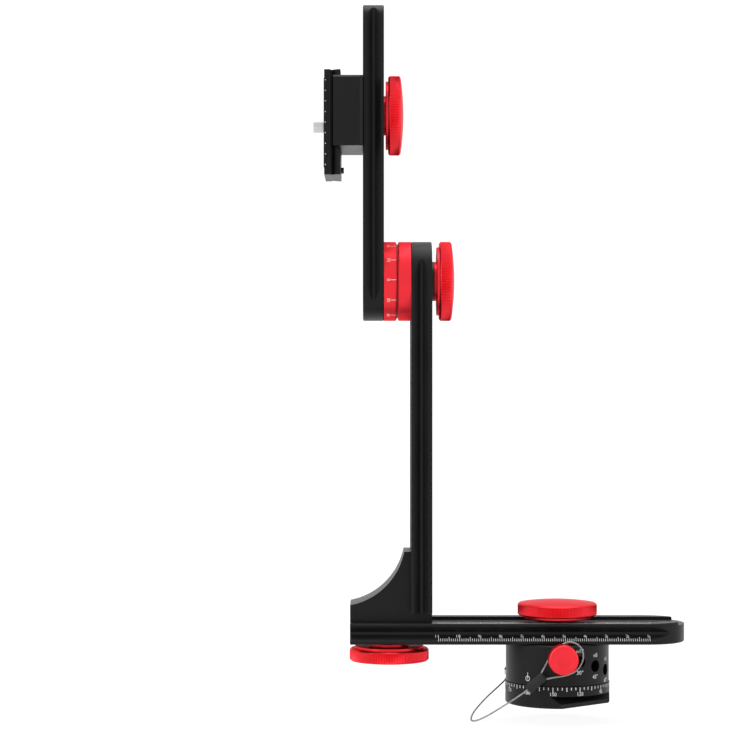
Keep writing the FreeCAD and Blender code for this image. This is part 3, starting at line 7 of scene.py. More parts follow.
# %% Load the solids
import json
import math
import bpy
import bmesh
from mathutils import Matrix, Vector

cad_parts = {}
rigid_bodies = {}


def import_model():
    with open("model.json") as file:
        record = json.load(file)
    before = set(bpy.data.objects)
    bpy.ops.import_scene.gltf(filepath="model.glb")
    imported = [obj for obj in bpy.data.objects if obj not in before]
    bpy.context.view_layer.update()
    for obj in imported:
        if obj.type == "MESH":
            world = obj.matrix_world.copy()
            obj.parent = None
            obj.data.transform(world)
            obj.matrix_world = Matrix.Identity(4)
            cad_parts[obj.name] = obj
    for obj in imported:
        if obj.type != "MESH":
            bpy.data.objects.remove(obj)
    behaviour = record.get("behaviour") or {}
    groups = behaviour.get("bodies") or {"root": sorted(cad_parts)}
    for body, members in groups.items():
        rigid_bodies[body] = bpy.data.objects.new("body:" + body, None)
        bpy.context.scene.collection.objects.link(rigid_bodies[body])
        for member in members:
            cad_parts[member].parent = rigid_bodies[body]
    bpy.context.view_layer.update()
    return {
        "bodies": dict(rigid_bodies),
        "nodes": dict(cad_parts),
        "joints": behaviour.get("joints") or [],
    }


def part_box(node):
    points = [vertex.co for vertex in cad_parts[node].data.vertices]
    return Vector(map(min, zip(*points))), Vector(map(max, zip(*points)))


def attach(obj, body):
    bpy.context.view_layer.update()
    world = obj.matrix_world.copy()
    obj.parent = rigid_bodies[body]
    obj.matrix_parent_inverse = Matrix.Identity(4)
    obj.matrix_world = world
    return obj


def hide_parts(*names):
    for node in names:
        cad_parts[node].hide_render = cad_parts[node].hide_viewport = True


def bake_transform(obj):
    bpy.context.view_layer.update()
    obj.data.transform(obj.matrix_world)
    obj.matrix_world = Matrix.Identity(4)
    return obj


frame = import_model()
MM = 0.001


def corners(node):
    """The lowest and highest corner of a solid, in millimetres."""
    low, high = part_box(node)
    return low / MM, high / MM


def joint_place(name):
    """A point on a joint's axis, in millimetres."""
    joint = next(joint for joint in frame["joints"] if joint["name"] == name)
    return Vector(joint["pos_m"]) / MM


print("solids:", len(frame["nodes"]), "bodies:", len(frame["bodies"]))

# %% [markdown]
# The camera is about a metre away, level, with a long lens, so the rails stay nearly straight on
# and only the tops of the low pieces show. Its height sets how much of each top is seen.

# %% Camera
SENSOR_WIDTH, FOCAL_LENGTH = 36.0, 104.76
CAMERA_PLACE = (-0.08765, -1.050, 0.157)
NEAREST_SEEN, FARTHEST_SEEN = 0.05, 20.0

camera_data = bpy.data.cameras.new("camera")
camera_data.sensor_width = SENSOR_WIDTH
camera_data.lens = FOCAL_LENGTH
camera_data.clip_start = NEAREST_SEEN
camera_data.clip_end = FARTHEST_SEEN
camera = bpy.data.objects.new("camera", camera_data)
camera.location = CAMERA_PLACE
camera.rotation_euler = (math.radians(90), 0, 0)
bpy.context.scene.collection.objects.link(camera)
bpy.context.scene.camera = camera
print("camera:", FOCAL_LENGTH, "mm lens at", CAMERA_PLACE)

# %% [markdown]
# Node trees are easier to read as sums. A Socket wraps one output, and arithmetic on it adds the
# Math nodes. Any other node comes from Graph.node, which takes the node's type, its settings and
# its inputs. The same two classes write materials and Geometry Nodes.


# %% Sockets that add and multiply
class Socket:
    """One output of a node. Arithmetic on it adds Math nodes to the same tree."""

    def __init__(self, graph, node, socket):
        self.graph, self.node, self.socket = graph, node, socket

    def __getitem__(self, name):
        return Socket(self.graph, self.node, self.node.outputs[name])

    def math(self, operation, *values):
        return self.graph.node("ShaderNodeMath", {"operation": operation}, *values)

    def __add__(self, other):
        return self.math("ADD", self, other)

    def __sub__(self, other):
        return self.math("SUBTRACT", self, other)

    def __rsub__(self, other):
        return self.math("SUBTRACT", other, self)

    def __mul__(self, other):
        return self.math("MULTIPLY", self, other)

    def __truediv__(self, other):
        return self.math("DIVIDE", self, other)

    def __rtruediv__(self, other):
        return self.math("DIVIDE", other, self)

    def mod(self, other):
        return self.math("FLOORED_MODULO", self, other)

    def sin(self):
        return self.math("SINE", self)

    def cos(self):
        return self.math("COSINE", self)

    __radd__ = __add__
    __rmul__ = __mul__


class Graph:
    """A material's or a modifier's node tree."""

    def __init__(self, tree):
        self.tree = tree

    def node(self, kind, settings=None, *values, **named):
        """Adds a node, sets it up, then fills its inputs by place or by name."""
        made = self.tree.nodes.new(kind)
        for name, setting in (settings or {}).items():
            setattr(made, name, setting)
        for socket, value in zip(made.inputs, values):
            self.fill(socket, value)
        for name, value in named.items():
            self.fill(made.inputs[name.replace("_", " ")], value)
        shown = next((s for s in made.outputs if s.enabled), None)
        return Socket(self, made, shown)

    def fill(self, socket, value):
        """Links another node's output to an input, or writes a plain value into it."""
        if isinstance(value, Socket):
            self.tree.links.new(value.socket, socket)
        elif value is not None:
            socket.default_value = value


# %% [markdown]
# Nearly everything on the head is aluminium: bead-blasted and anodised black, or turned and
# anodised red. Black anodising is a thin clear skin over black metal, so a dark base with a weak
# reflection suits it. Blasting leaves a fine grain in the surface, which is a bump far smaller
# than a millimetre. An extruded rail also keeps faint lines along its length, so its roughness is
# drawn out in that way.


# %% Start and close a material
def new_material(name):
    """A material with an empty node tree, and its graph."""
    material = bpy.data.materials.new(name)
    material.use_nodes = True
    material.node_tree.nodes.clear()
    return material, Graph(material.node_tree)


def close(graph, **values):
    """Adds the surface shader and the output."""
    shader = graph.node("ShaderNodeBsdfPrincipled", None, **values)
    graph.node("ShaderNodeOutputMaterial", None, shader)


# A Mix node has a set of sockets for each kind of value. Its colours are at these places.
FIRST_COLOUR, SECOND_COLOUR, MIXED_COLOUR = 6, 7, 2


def tint(graph, mask, low, high):
    """A colour that goes from low to high with a mask."""
    mix = graph.node("ShaderNodeMix", {"data_type": "RGBA"})
    graph.fill(mix.node.inputs["Factor"], mask)
    graph.fill(mix.node.inputs[FIRST_COLOUR], low)
    graph.fill(mix.node.inputs[SECOND_COLOUR], high)
    return Socket(graph, mix.node, mix.node.outputs[MIXED_COLOUR])


# %% Black anodised aluminium
# The scale of a noise is about how many of its bumps lie in a metre. Bump heights are in metres.
BLAST_GRAIN, RAIL_LINES, WEAR_CLOUDS = 5200.0, 900.0, 45.0
BLAST_HEIGHT = 0.00003
BLACK_IOR = 1.27
DARK_SKIN, LIGHT_SKIN = (0.72, 0.74, 0.82), (1.4, 1.42, 1.56)
DRAWN_OUT = 0.02


def black_anodised(name, stretch=(1, 1, 1), depth=0.006):
    """Blasted black skin. Stretch draws the faint lines out along a rail."""
    material, graph = new_material(name)
    place = graph.node("ShaderNodeTexCoord")["Object"]
    drawn = graph.node("ShaderNodeMapping", None, place, Scale=stretch)
    lines = graph.node("ShaderNodeTexNoise", None, Vector=drawn, Scale=RAIL_LINES, Detail=3.0)
    clouds = graph.node("ShaderNodeTexNoise", None, Vector=place, Scale=WEAR_CLOUDS, Detail=4.0)
    grain = graph.node("ShaderNodeTexNoise", None, Vector=place, Scale=BLAST_GRAIN, Detail=1.0)
    raised = grain + lines * 0.7
    bump = graph.node("ShaderNodeBump", None, Strength=0.22, Distance=BLAST_HEIGHT, Height=raised)
    dark = tuple(depth * share for share in DARK_SKIN) + (1,)
    light = tuple(depth * share for share in LIGHT_SKIN) + (1,)
    close(
        graph,
        Base_Color=tint(graph, clouds * 0.6 + lines * 0.4, dark, light),
        Roughness=clouds * 0.16 + lines * 0.12 + 0.24,
        Metallic=0.0,
        IOR=BLACK_IOR,
        Normal=bump,
    )
    return material


MATERIALS = {
    "black_blasted": black_anodised("black_blasted"),
    "black_rail_level": black_anodised("black_rail_level", (DRAWN_OUT, 1, 1)),
    "black_rail_standing": black_anodised("black_rail_standing", (1, 1, DRAWN_OUT)),
    "black_deep": black_anodised("black_deep", depth=0.004),
}
print("black finishes:", ", ".join(MATERIALS))

# %% [markdown]
# The red pieces are turned on a lathe and dyed in the anodising bath. The dye lets the bare
# metal's reflection through, so the shader is a metal with a red colour. The lathe leaves rings
# round the piece's axis. They are a wave of the distance from that axis, so each red material is
# told where its own axis is.


# %% The distance from an axis
def axis_distance(graph, centre, axis):
    """The distance, in millimetres, from an axis through a centre along X, Y or Z."""
    place = graph.node("ShaderNodeTexCoord")["Object"]
    parts = graph.node("ShaderNodeSeparateXYZ", None, place)
    squares = []
    for letter, middle in zip("XYZ", centre):
        if letter != axis:
            across = parts[letter] * (1 / MM) - middle
            squares.append(across * across)
    squared = squares[0] + squares[1]
    return squared.math("SQRT", squared)


# %% Red anodised aluminium
RED = (0.90, 0.036, 0.050)
RED_REFLECTION = (0.85, 0.35, 0.35, 1.0)
DEEPER_RED = 0.86
LATHE_GRAIN, DYE_CLOUDS = 4200.0, 60.0
RING_HEIGHT = 0.00002


def red_turned(name, centre, axis, ring=0.35, roughness=0.27):
    """Red dye over turned metal. Ring is the distance between two lathe rings, in millimetres."""
    material, graph = new_material(name)
    place = graph.node("ShaderNodeTexCoord")["Object"]
    away = axis_distance(graph, centre, axis)
    rings = (away * (2 * math.pi / ring)).sin()
    uneven = graph.node("ShaderNodeTexNoise", None, Vector=place, Scale=DYE_CLOUDS, Detail=3.0)
    grain = graph.node("ShaderNodeTexNoise", None, Vector=place, Scale=LATHE_GRAIN, Detail=1.0)
    raised = rings * 0.5 + grain
    bump = graph.node("ShaderNodeBump", None, Strength=0.16, Distance=RING_HEIGHT, Height=raised)
    deep = tuple(c * DEEPER_RED for c in RED) + (1,)
    close(
        graph,
        Base_Color=tint(graph, uneven, deep, RED + (1,)),
        Roughness=uneven * 0.10 + grain * 0.05 + roughness,
        Metallic=0.82,
        IOR=1.5,
        Specular_Tint=RED_REFLECTION,
        Normal=bump,
    )
    return material


# %% [markdown]
# The small hardware is steel, either bright or blackened, and the washers are black plastic.
# White ink fills the engraved scales, the rubber strips on the plate have a fine tooth, and the
# tether is dull steel with a black sleeve. They differ only in colour, gloss and grain, so one
# function serves them all.


# %% A finish with a speckle
SPECKLE_SPREAD = 0.14
FINER = 9


def speckled(name, low, high, scale, roughness, metallic, bump=0.2, size=0.00003, ior=1.5):
    """A finish whose colour and roughness vary with one noise, and whose bump is a finer one."""
    material, graph = new_material(name)
    place = graph.node("ShaderNodeTexCoord")["Object"]
    noise = graph.node("ShaderNodeTexNoise", None, Vector=place, Scale=scale, Detail=4.0)
    fine = graph.node("ShaderNodeTexNoise", None, Vector=place, Scale=scale * FINER, Detail=2.0)
    raised = graph.node("ShaderNodeBump", None, Strength=bump, Distance=size, Height=fine)
    close(
        graph,
        Base_Color=tint(graph, noise, low + (1,), high + (1,)),
        Roughness=noise * SPECKLE_SPREAD + (roughness - SPECKLE_SPREAD / 2),
        Metallic=metallic,
        IOR=ior,
        Normal=raised,
    )
    return material


# %% Steel, plastic, rubber and ink
SMALL_FINISHES = {
    "bright_steel": {
        "low": (0.50, 0.50, 0.49), "high": (0.66, 0.66, 0.65),
        "scale": 160.0, "roughness": 0.24, "metallic": 1.0,
    },
    "black_steel": {
        "low": (0.018, 0.018, 0.020), "high": (0.034, 0.034, 0.037),
        "scale": 300.0, "roughness": 0.33, "metallic": 0.4,
    },
    "washer_plastic": {
        "low": (0.008, 0.008, 0.009), "high": (0.014, 0.014, 0.015),
        "scale": 240.0, "roughness": 0.42, "metallic": 0.0,
    },
    "grip_rubber": {
        "low": (0.014, 0.014, 0.014), "high": (0.026, 0.026, 0.025),
        "scale": 700.0, "roughness": 0.78, "metallic": 0.0, "bump": 0.7, "size": 0.0001,
    },
    "white_ink": {
        "low": (0.70, 0.70, 0.70), "high": (0.86, 0.86, 0.86),
        "scale": 1500.0, "roughness": 0.5, "metallic": 0.0, "bump": 0.1,
    },
    "sleeve_black": {
        "low": (0.012, 0.012, 0.014), "high": (0.044, 0.044, 0.048),
        "scale": 1100.0, "roughness": 0.6, "metallic": 0.0, "bump": 1.0, "size": 0.0002, "ior": 1.3,
    },
    "rope_steel": {
        "low": (0.26, 0.26, 0.26), "high": (0.40, 0.40, 0.39),
        "scale": 900.0, "roughness": 0.32, "metallic": 1.0,
    },
}
for name, finish in SMALL_FINISHES.items():
    MATERIALS[name] = speckled(name, **finish)
print("small finishes:", ", ".join(SMALL_FINISHES))

# %% [markdown]
# A Geometry Nodes tree is wrapped in a modifier, run once, and its result is kept as a plain
# mesh. The inputs are set by their identifiers before the object is first evaluated.


# %% Start and close a Geometry Nodes tree
def node_group(name, inputs):
    """An empty tree with named inputs. Returns its graph and its input node."""
    tree = bpy.data.node_groups.new(name, "GeometryNodeTree")
    tree.interface.new_socket("Geometry", in_out="INPUT", socket_type="NodeSocketGeometry")
    for label, kind in inputs.items():
        tree.interface.new_socket(label, in_out="INPUT", socket_type=f"NodeSocket{kind}")
    tree.interface.new_socket("Geometry", in_out="OUTPUT", socket_type="NodeSocketGeometry")
    graph = Graph(tree)
    return graph, graph.node("NodeGroupInput")


def finish_tree(graph, geometry, material):
    """Turns instances into a real mesh, coats it and sends it out."""
    real = graph.node("GeometryNodeRealizeInstances", None, geometry)
    coated = graph.node("GeometryNodeSetMaterial", None, real, Material=material)
    graph.node("NodeGroupOutput", None, coated)


# %% Plain meshes
MERGE_DISTANCE = 2e-7


def mesh_object(name, vertices, edges=(), faces=()):
    """A new object with its place in its mesh."""
    mesh = bpy.data.meshes.new(name)
    mesh.from_pydata([tuple(v) for v in vertices], list(edges), list(faces))
    mesh.update()
    piece = bpy.data.objects.new(name, mesh)
    bpy.context.scene.collection.objects.link(piece)
    return piece


def evaluated_mesh(piece):
    """The mesh that an object's curve or modifiers make."""
    graph = bpy.context.evaluated_depsgraph_get()
    graph.update()
    return bpy.data.meshes.new_from_object(piece.evaluated_get(graph), depsgraph=graph)


def settle(piece, sharp=30.0):
    """Merges doubles, turns faces outwards and shades smooth up to an angle."""
    shape = bmesh.new()
    shape.from_mesh(piece.data)
    bmesh.ops.remove_doubles(shape, verts=shape.verts, dist=MERGE_DISTANCE)
    bmesh.ops.recalc_face_normals(shape, faces=shape.faces)
    shape.to_mesh(piece.data)
    shape.free()
    piece.data.shade_smooth()
    piece.data.set_sharp_from_angle(angle=math.radians(sharp))
    print(piece.name, "faces:", len(piece.data.polygons))


# %% Run a tree once
def run_tree(piece, graph, values, sharp=30.0):
    """Runs the tree on the piece with these inputs, and keeps the result as its mesh."""
    modifier = piece.modifiers.new("shape", "NODES")
    modifier.node_group = graph.tree
    for item in graph.tree.interface.items_tree:
        if item.in_out == "INPUT" and item.name in values:
            modifier[item.identifier] = values[item.name]
    mesh = evaluated_mesh(piece)
    piece.modifiers.clear()
    piece.data = mesh
    settle(piece, sharp)
    return piece


# %% [markdown]
# A hand knob is a turned shape with straight knurls rolled into its rim. The tree bends a grid
# round an axis: the columns go round, and each row takes its radius and height from one point of
# a profile. The profile's second coordinate says how deeply that point is knurled, so one rule
# makes the whole knob. The profile is rounded where a cutter breaks the edges.


# %% The turning tree
def turning_tree(material):
    """Bends a grid round the Z axis to the profile it is given, with grooves round the rim."""
    graph, given = node_group(
        f"turning_{material.name}",
        {
            "Rows": "Int", "Knurls": "Int", "Steps": "Int", "Depth": "Float", "Place": "Vector",
            "Turn": "Rotation",
        },
    )
    columns = given["Knurls"] * given["Steps"]
    grid = graph.node("GeometryNodeMeshGrid", None, 1.0, 1.0, columns + 1.0, given["Rows"])
    spot = graph.node("ShaderNodeSeparateXYZ", None, graph.node("GeometryNodeInputPosition"))
    angle = (spot["X"] + 0.5) * (2 * math.pi)
    row = (spot["Y"] + 0.5) * (given["Rows"] - 1.0)
    sample = graph.node(
        "GeometryNodeSampleIndex", {"data_type": "FLOAT_VECTOR", "domain": "POINT"},
        Geometry=given["Geometry"], Value=graph.node("GeometryNodeInputPosition"),
        Index=row.math("ROUND", row),
    )
    profile = graph.node("ShaderNodeSeparateXYZ", None, sample)
    tooth = (spot["X"] + 0.5) * given["Knurls"]
    groove = tooth.math("PINGPONG", tooth, 0.5) * 2.0
    radius = profile["X"] - profile["Y"] * given["Depth"] * groove
    turned = graph.node(
        "ShaderNodeCombineXYZ", None, radius * angle.cos(), radius * angle.sin(), profile["Z"]
    )
    bent = graph.node("GeometryNodeSetPosition", None, grid, Position=turned)
    placed = graph.node(
        "GeometryNodeTransform", None, bent, Translation=given["Place"], Rotation=given["Turn"]
    )
    finish_tree(graph, placed, material)
    return graph


# %% Rounded corners
def rounded(points, radii, steps=4):
    """Rounds some corners of a profile with short arcs. Radii maps an index to a radius."""
    path = []
    for n, (x, weight, z) in enumerate(points):
        radius = radii.get(n)
        if not radius:
            path.append((x, weight, z))
            continue
        here = Vector((x, z))
        back = Vector((points[n - 1][0], points[n - 1][2])) - here
        ahead = Vector((points[n + 1][0], points[n + 1][2])) - here
        half = back.angle(ahead) / 2
        reach = radius / math.tan(half)
        start, end = here + back.normalized() * reach, here + ahead.normalized() * reach
        inward = (back.normalized() + ahead.normalized()).normalized()
        centre = here + inward * radius / math.sin(half)
        for k in range(steps + 1):
            spot = start.lerp(end, k / steps) - centre
            spot = centre + spot.normalized() * radius
            path.append((spot.x, weight, spot.y))
    return path


# %% Turn a piece
SMOOTH_UNDER = 32.0


def turned_piece(name, profile, material, place, turn, knurls, steps, depth=0.0):
    """Turns a profile, in millimetres, about its own Z axis and sets it in place."""
    points = [(r * MM, weight, z * MM) for r, weight, z in profile]
    piece = mesh_object(name, points, [(n, n + 1) for n in range(len(points) - 1)])
    values = {
        "Rows": len(points),
        "Knurls": knurls,
        "Steps": steps,
        "Depth": depth * MM,
        "Place": [c * MM for c in place],
        "Turn": turn,
    }
    return run_tree(piece, turning_tree(material), values, SMOOTH_UNDER)


# %% [markdown]
# Four equal red knobs lock the rail, the bracket, the pivot and the clamp. Each has a boss that
# bears on its washer, a step, a knurled disc and a shallow dome. The disc's size is read from the
# rail knob's solid, and the small steps of the profile are given here.

# %% The lock knob's sizes
KNOB_LOW, KNOB_HIGH = corners("rail_lock_knob")
KNOB_RADIUS = (KNOB_HIGH.x - KNOB_LOW.x) / 2
KNOB_HEIGHT = KNOB_HIGH.z - KNOB_LOW.z
BOSS_RADIUS, BOSS_HEIGHT = 9.4, 1.3
STEP_RADIUS, STEP_HEIGHT = 16.4, 1.2
KNOB_EDGE, KNOB_DOME = 0.7, 1.4
BORE_DEPTH = 7.0
KNURLS, KNURL_STEPS = 150, 4
KNURL_MARGIN = 0.25
KNURL_DEPTH = 0.42
BOSS_ROUND, STEP_ROUND, DISC_ROUND, RIM_ROUND = 0.25, 0.2, 0.35, 0.2
print("lock knob:", round(2 * KNOB_RADIUS, 2), "mm wide,", round(KNOB_HEIGHT, 2), "mm high")


# %% The lock knob's profile
def dome_points(rim, height, top, count=14):
    """Points of a shallow dome, from its rim to its middle."""
    sphere = (rim * rim + height * height) / (2 * height)
    spots = []
    for n in range(count + 1):
        r = rim * (1 - n / count)
        spots.append((r, 0.0, top - height + math.sqrt(sphere**2 - r**2) - (sphere - height)))
    return spots


def knob_profile(bore):
    """The knob from its bore, over its boss, step, knurled disc and dome, to its middle."""
    back = BOSS_HEIGHT + STEP_HEIGHT
    front = KNOB_HEIGHT - KNOB_DOME
    rim = KNOB_RADIUS - KNOB_EDGE
    outside = [
        (bore, 0.0, BORE_DEPTH),
        (bore, 0.0, 0.0),
        (BOSS_RADIUS, 0.0, 0.0),
        (BOSS_RADIUS, 0.0, BOSS_HEIGHT),
        (STEP_RADIUS, 0.0, BOSS_HEIGHT),
        (STEP_RADIUS, 0.0, back),
        (rim, 0.0, back),
        (KNOB_RADIUS, 0.0, back + KNOB_EDGE),
        (KNOB_RADIUS, 1.0, back + KNOB_EDGE + KNURL_MARGIN),
        (KNOB_RADIUS, 1.0, front - KNOB_EDGE - KNURL_MARGIN),
        (KNOB_RADIUS, 0.0, front - KNOB_EDGE),
    ]
    body = rounded(outside, {2: BOSS_ROUND, 4: STEP_ROUND, 6: DISC_ROUND, 7: RIM_ROUND})
    return [(0.0, 0.0, BORE_DEPTH)] + body + dome_points(rim, KNOB_DOME, KNOB_HEIGHT)


# %% Lock knobs
TOWARD = {
    "up": (0, 0, 0),
    "down": (math.pi, 0, 0),
    "right": (0, math.pi / 2, 0),
    "front": (math.pi / 2, 0, 0),
    "back": (-math.pi / 2, 0, 0),
}
STUD_BORE, BOLT_BORE = 3.1, 4.1
LOCK_KNOBS = {
    "rail_lock_knob": ("rail_knob", "up", "Z", STUD_BORE),
    "bracket_lock_knob": ("bracket_knob", "down", "Z", STUD_BORE),
    "pivot_lock_knob": ("pivot_knob", "right", "X", BOLT_BORE),
    "clamp_lock_knob": ("clamp_knob", "right", "X", STUD_BORE),
}
for node, (body, toward, axis, bore) in LOCK_KNOBS.items():
    place = joint_place(f"{body}_turn")
    red = red_turned(f"red_{node}", place, axis)
    knob = turned_piece(
        f"{node}_knurled", knob_profile(bore), red, place, TOWARD[toward], knurls=KNURLS,
        steps=KNURL_STEPS, depth=KNURL_DEPTH,
    )
    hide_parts(node)
    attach(knob, body)

# %% [markdown]
# The index plunger has a small button with a dished face and a round rim, and the jaw has a
# knurled black hand knob. Both are turned by the same tree.


# %% Plunger button
def dish_points(rim, depth, top, count=10):
    """Points of a shallow dish, from inside its rim to its middle."""
    sphere = (rim * rim + depth * depth) / (2 * depth)
    spots = []
    for n in range(1, count + 1):
        r = rim * (1 - n / count)
        spots.append((r, 0.0, top - math.sqrt(sphere**2 - r**2) + (sphere - depth)))
    return spots


BUTTON_LOW, BUTTON_HIGH = corners("plunger_knob")
BUTTON_RADIUS = (BUTTON_HIGH.x - BUTTON_LOW.x) / 2
BUTTON_LENGTH = BUTTON_HIGH.y - BUTTON_LOW.y
BUTTON_RIM, BUTTON_DISH = 1.5, 1.2
BUTTON_CHAMFER, BUTTON_BORE, BUTTON_SIDES = 1.2, 1.1, 96
BUTTON_ROUNDS = {3: 0.4, 4: 0.8, 5: 1.2}
TOP_ROW = (BUTTON_LOW.z + BUTTON_HIGH.z) / 2
pin_end = BUTTON_HIGH.y - corners("plunger_pin")[0].y
inner_rim = BUTTON_RADIUS - BUTTON_RIM
button = [
    (0.0, 0.0, pin_end),
    (BUTTON_BORE, 0.0, pin_end),
    (BUTTON_BORE, 0.0, 0.0),
    (BUTTON_RADIUS - BUTTON_CHAMFER, 0.0, 0.0),
    (BUTTON_RADIUS, 0.0, BUTTON_CHAMFER),
    (BUTTON_RADIUS, 0.0, BUTTON_LENGTH),
    (inner_rim, 0.0, BUTTON_LENGTH),
]
button = rounded(button, BUTTON_ROUNDS, steps=6)
button += dish_points(inner_rim, BUTTON_DISH, BUTTON_LENGTH)
button_place = Vector((0, BUTTON_HIGH.y, TOP_ROW))
button_red = red_turned("red_plunger_button", button_place, "Y", ring=0.25, roughness=0.24)
# Knurls with no depth are plain sides.
plunger = turned_piece(
    "plunger_button", button, button_red, button_place, TOWARD["front"],
    knurls=BUTTON_SIDES, steps=1,
)
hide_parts("plunger_knob")
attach(plunger, "plunger")

# %% Jaw knob
GRIP_LOW, GRIP_HIGH = corners("jaw_knob")
GRIP_RADIUS = (GRIP_HIGH.x - GRIP_LOW.x) / 2
GRIP_LENGTH = GRIP_HIGH.y - GRIP_LOW.y
NECK_RADIUS, NECK_LENGTH = 6.5, 3.0
GRIP_CHAMFER, GRIP_LIP, GRIP_RECESS = 1.0, 3.0, 0.6
GRIP_KNURL = GRIP_CHAMFER + 0.3
GRIP_KNURLS, GRIP_DEPTH = 72, 0.4
GRIP_ROUNDS = {3: 0.3, 5: 0.3, 10: 0.4}
SCREW_RADIUS = 2.45
screw_end = corners("jaw_screw")[1].y - GRIP_LOW.y
grip = [
    (0.0, 0.0, screw_end),
    (SCREW_RADIUS, 0.0, screw_end),
    (SCREW_RADIUS, 0.0, 0.0),
    (NECK_RADIUS, 0.0, 0.0),
    (NECK_RADIUS, 0.0, NECK_LENGTH),
    (GRIP_RADIUS - GRIP_CHAMFER, 0.0, NECK_LENGTH),
    (GRIP_RADIUS, 0.0, NECK_LENGTH + GRIP_CHAMFER),
    (GRIP_RADIUS, 1.0, NECK_LENGTH + GRIP_KNURL),
    (GRIP_RADIUS, 1.0, GRIP_LENGTH - GRIP_KNURL),
    (GRIP_RADIUS, 0.0, GRIP_LENGTH - GRIP_CHAMFER),
    (GRIP_RADIUS - GRIP_CHAMFER, 0.0, GRIP_LENGTH),
    (GRIP_RADIUS - GRIP_LIP, 0.0, GRIP_LENGTH),
    (GRIP_RADIUS - GRIP_LIP - GRIP_RECESS, 0.0, GRIP_LENGTH - GRIP_RECESS),
    (0.0, 0.0, GRIP_LENGTH - GRIP_RECESS),
]
jaw_grip = turned_piece(
    "jaw_grip", rounded(grip, GRIP_ROUNDS), MATERIALS["black_deep"],
    joint_place("jaw_knob_turn"), TOWARD["back"],
    knurls=GRIP_KNURLS, steps=KNURL_STEPS, depth=GRIP_DEPTH,
)
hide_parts("jaw_knob")
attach(jaw_grip, "jaw_turn")

# %% [markdown]
# A scale is a row of engraved lines filled with white ink. The tree sets lines along a row or
# round a dial, longer at every fifth and tenth or third and sixth, and each line is a thin plate
# of ink.


# %% The tree of scale lines
def line_tree(round_dial):
    """Lines that rise from a row along X, or hang from a circle about Z."""
    graph, given = node_group(
        "dial_lines" if round_dial else "ruler_lines",
        {
            "Count": "Int", "Step": "Float", "Radius": "Float",
            "Short": "Float", "Middle": "Float", "Long": "Float",
            "Each middle": "Int", "Each long": "Int", "Width": "Float", "Ink": "Float",
            "Place": "Vector", "Turn": "Rotation",
        },
    )
    index = graph.node("GeometryNodeInputIndex")
    is_middle = index.math("COMPARE", index.mod(given["Each middle"]), 0.0, 0.1)
    is_long = index.math("COMPARE", index.mod(given["Each long"]), 0.0, 0.1)
    length = given["Short"] + is_middle * (given["Middle"] - given["Short"])
    length = length + is_long * (given["Long"] - given["Middle"])
    points = graph.node("GeometryNodePoints", None, given["Count"])
    if round_dial:
        angle = index * given["Step"]
        across, ahead = given["Radius"] * angle.cos(), given["Radius"] * angle.sin()
        spot = graph.node("ShaderNodeCombineXYZ", None, across, ahead, length * -0.5)
        turn = graph.node("ShaderNodeCombineXYZ", None, 0.0, 0.0, angle + math.pi / 2)
    else:
        along = index * given["Step"]
        spot = graph.node("ShaderNodeCombineXYZ", None, along, 0.0, length * 0.5)
        turn = graph.node("ShaderNodeCombineXYZ", None, 0.0, 0.0, 0.0)
    laid = graph.node("GeometryNodeSetPosition", None, points, Position=spot)
    size = graph.node("ShaderNodeCombineXYZ", None, given["Width"], given["Ink"], 1.0)
    plate = graph.node("GeometryNodeMeshCube", None, Size=size)
    stretch = graph.node("ShaderNodeCombineXYZ", None, 1.0, 1.0, length)
    lines = graph.node(
        "GeometryNodeInstanceOnPoints", None, laid,
        Instance=plate["Mesh"], Rotation=turn, Scale=stretch,
    )
    placed = graph.node(
        "GeometryNodeTransform", None, lines, Translation=given["Place"], Rotation=given["Turn"]
    )
    finish_tree(graph, placed, MATERIALS["white_ink"])
    return graph


RULER_TREE = line_tree(round_dial=False)
DIAL_TREE = line_tree(round_dial=True)


# %% Lay a scale on a piece
INK_COAT = 0.02


def scale_lines(name, tree, body, **sizes):
    """Makes one row or dial of lines. Lengths are in millimetres and angles in degrees."""
    values = {"Radius": 0.0, "Each middle": 5, "Each long": 10, "Ink": 2 * INK_COAT}
    values.update({key.replace("_", " "): value for key, value in sizes.items()})
    for key in ("Radius", "Short", "Middle", "Long", "Width", "Ink"):
        values[key] = values[key] * MM
    values["Step"] = math.radians(values["Step"]) if tree is DIAL_TREE else values["Step"] * MM
    values["Place"] = [c * MM for c in values["Place"]]
    lines = run_tree(mesh_object(name, [(0, 0, 0)]), tree, values)
    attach(lines, body)


# %% Rulers on the rail
RAIL_LOW, RAIL_HIGH = corners("horizontal_rail")
RULER_LONG, RULER_FROM_TIP = 100, 18.5
RULER_END = RAIL_HIGH.x - RULER_FROM_TIP
RULER_START = RULER_END - RULER_LONG
LOWER_LAND = 1.6
SLOPE_FOOT = RAIL_LOW.z + LOWER_LAND
# The slope leans at 45 degrees, so a step up it goes as far back as up.
LEAN = math.sqrt(0.5)
SLOPE_INSET, TOP_INSET = 0.15, 0.6
LINE_WIDTH = 0.27
scale_lines(
    "ruler_lines", RULER_TREE, "rail",
    Count=RULER_LONG + 1, Step=1.0, Short=1.6, Middle=2.5, Long=3.3, Width=LINE_WIDTH,
    Place=(RULER_START, RAIL_LOW.y + SLOPE_INSET * LEAN, SLOPE_FOOT + SLOPE_INSET * LEAN),
    Turn=(math.radians(-45), 0, 0),
)
scale_lines(
    "top_ruler_lines", RULER_TREE, "rail",
    Count=RULER_LONG + 1, Step=1.0, Short=2.2, Middle=3.0, Long=4.0, Width=LINE_WIDTH,
    Place=(RULER_START, RAIL_LOW.y + TOP_INSET, RAIL_HIGH.z),
    Turn=(math.radians(-90), 0, 0),
)

# %% [markdown]
# Figures come from Blender's own font as curves. Each is filled, given the thickness of a coat of
# ink, and laid on the metal by a small function that says where a flat point goes: on a slope, or
# round a cylinder.


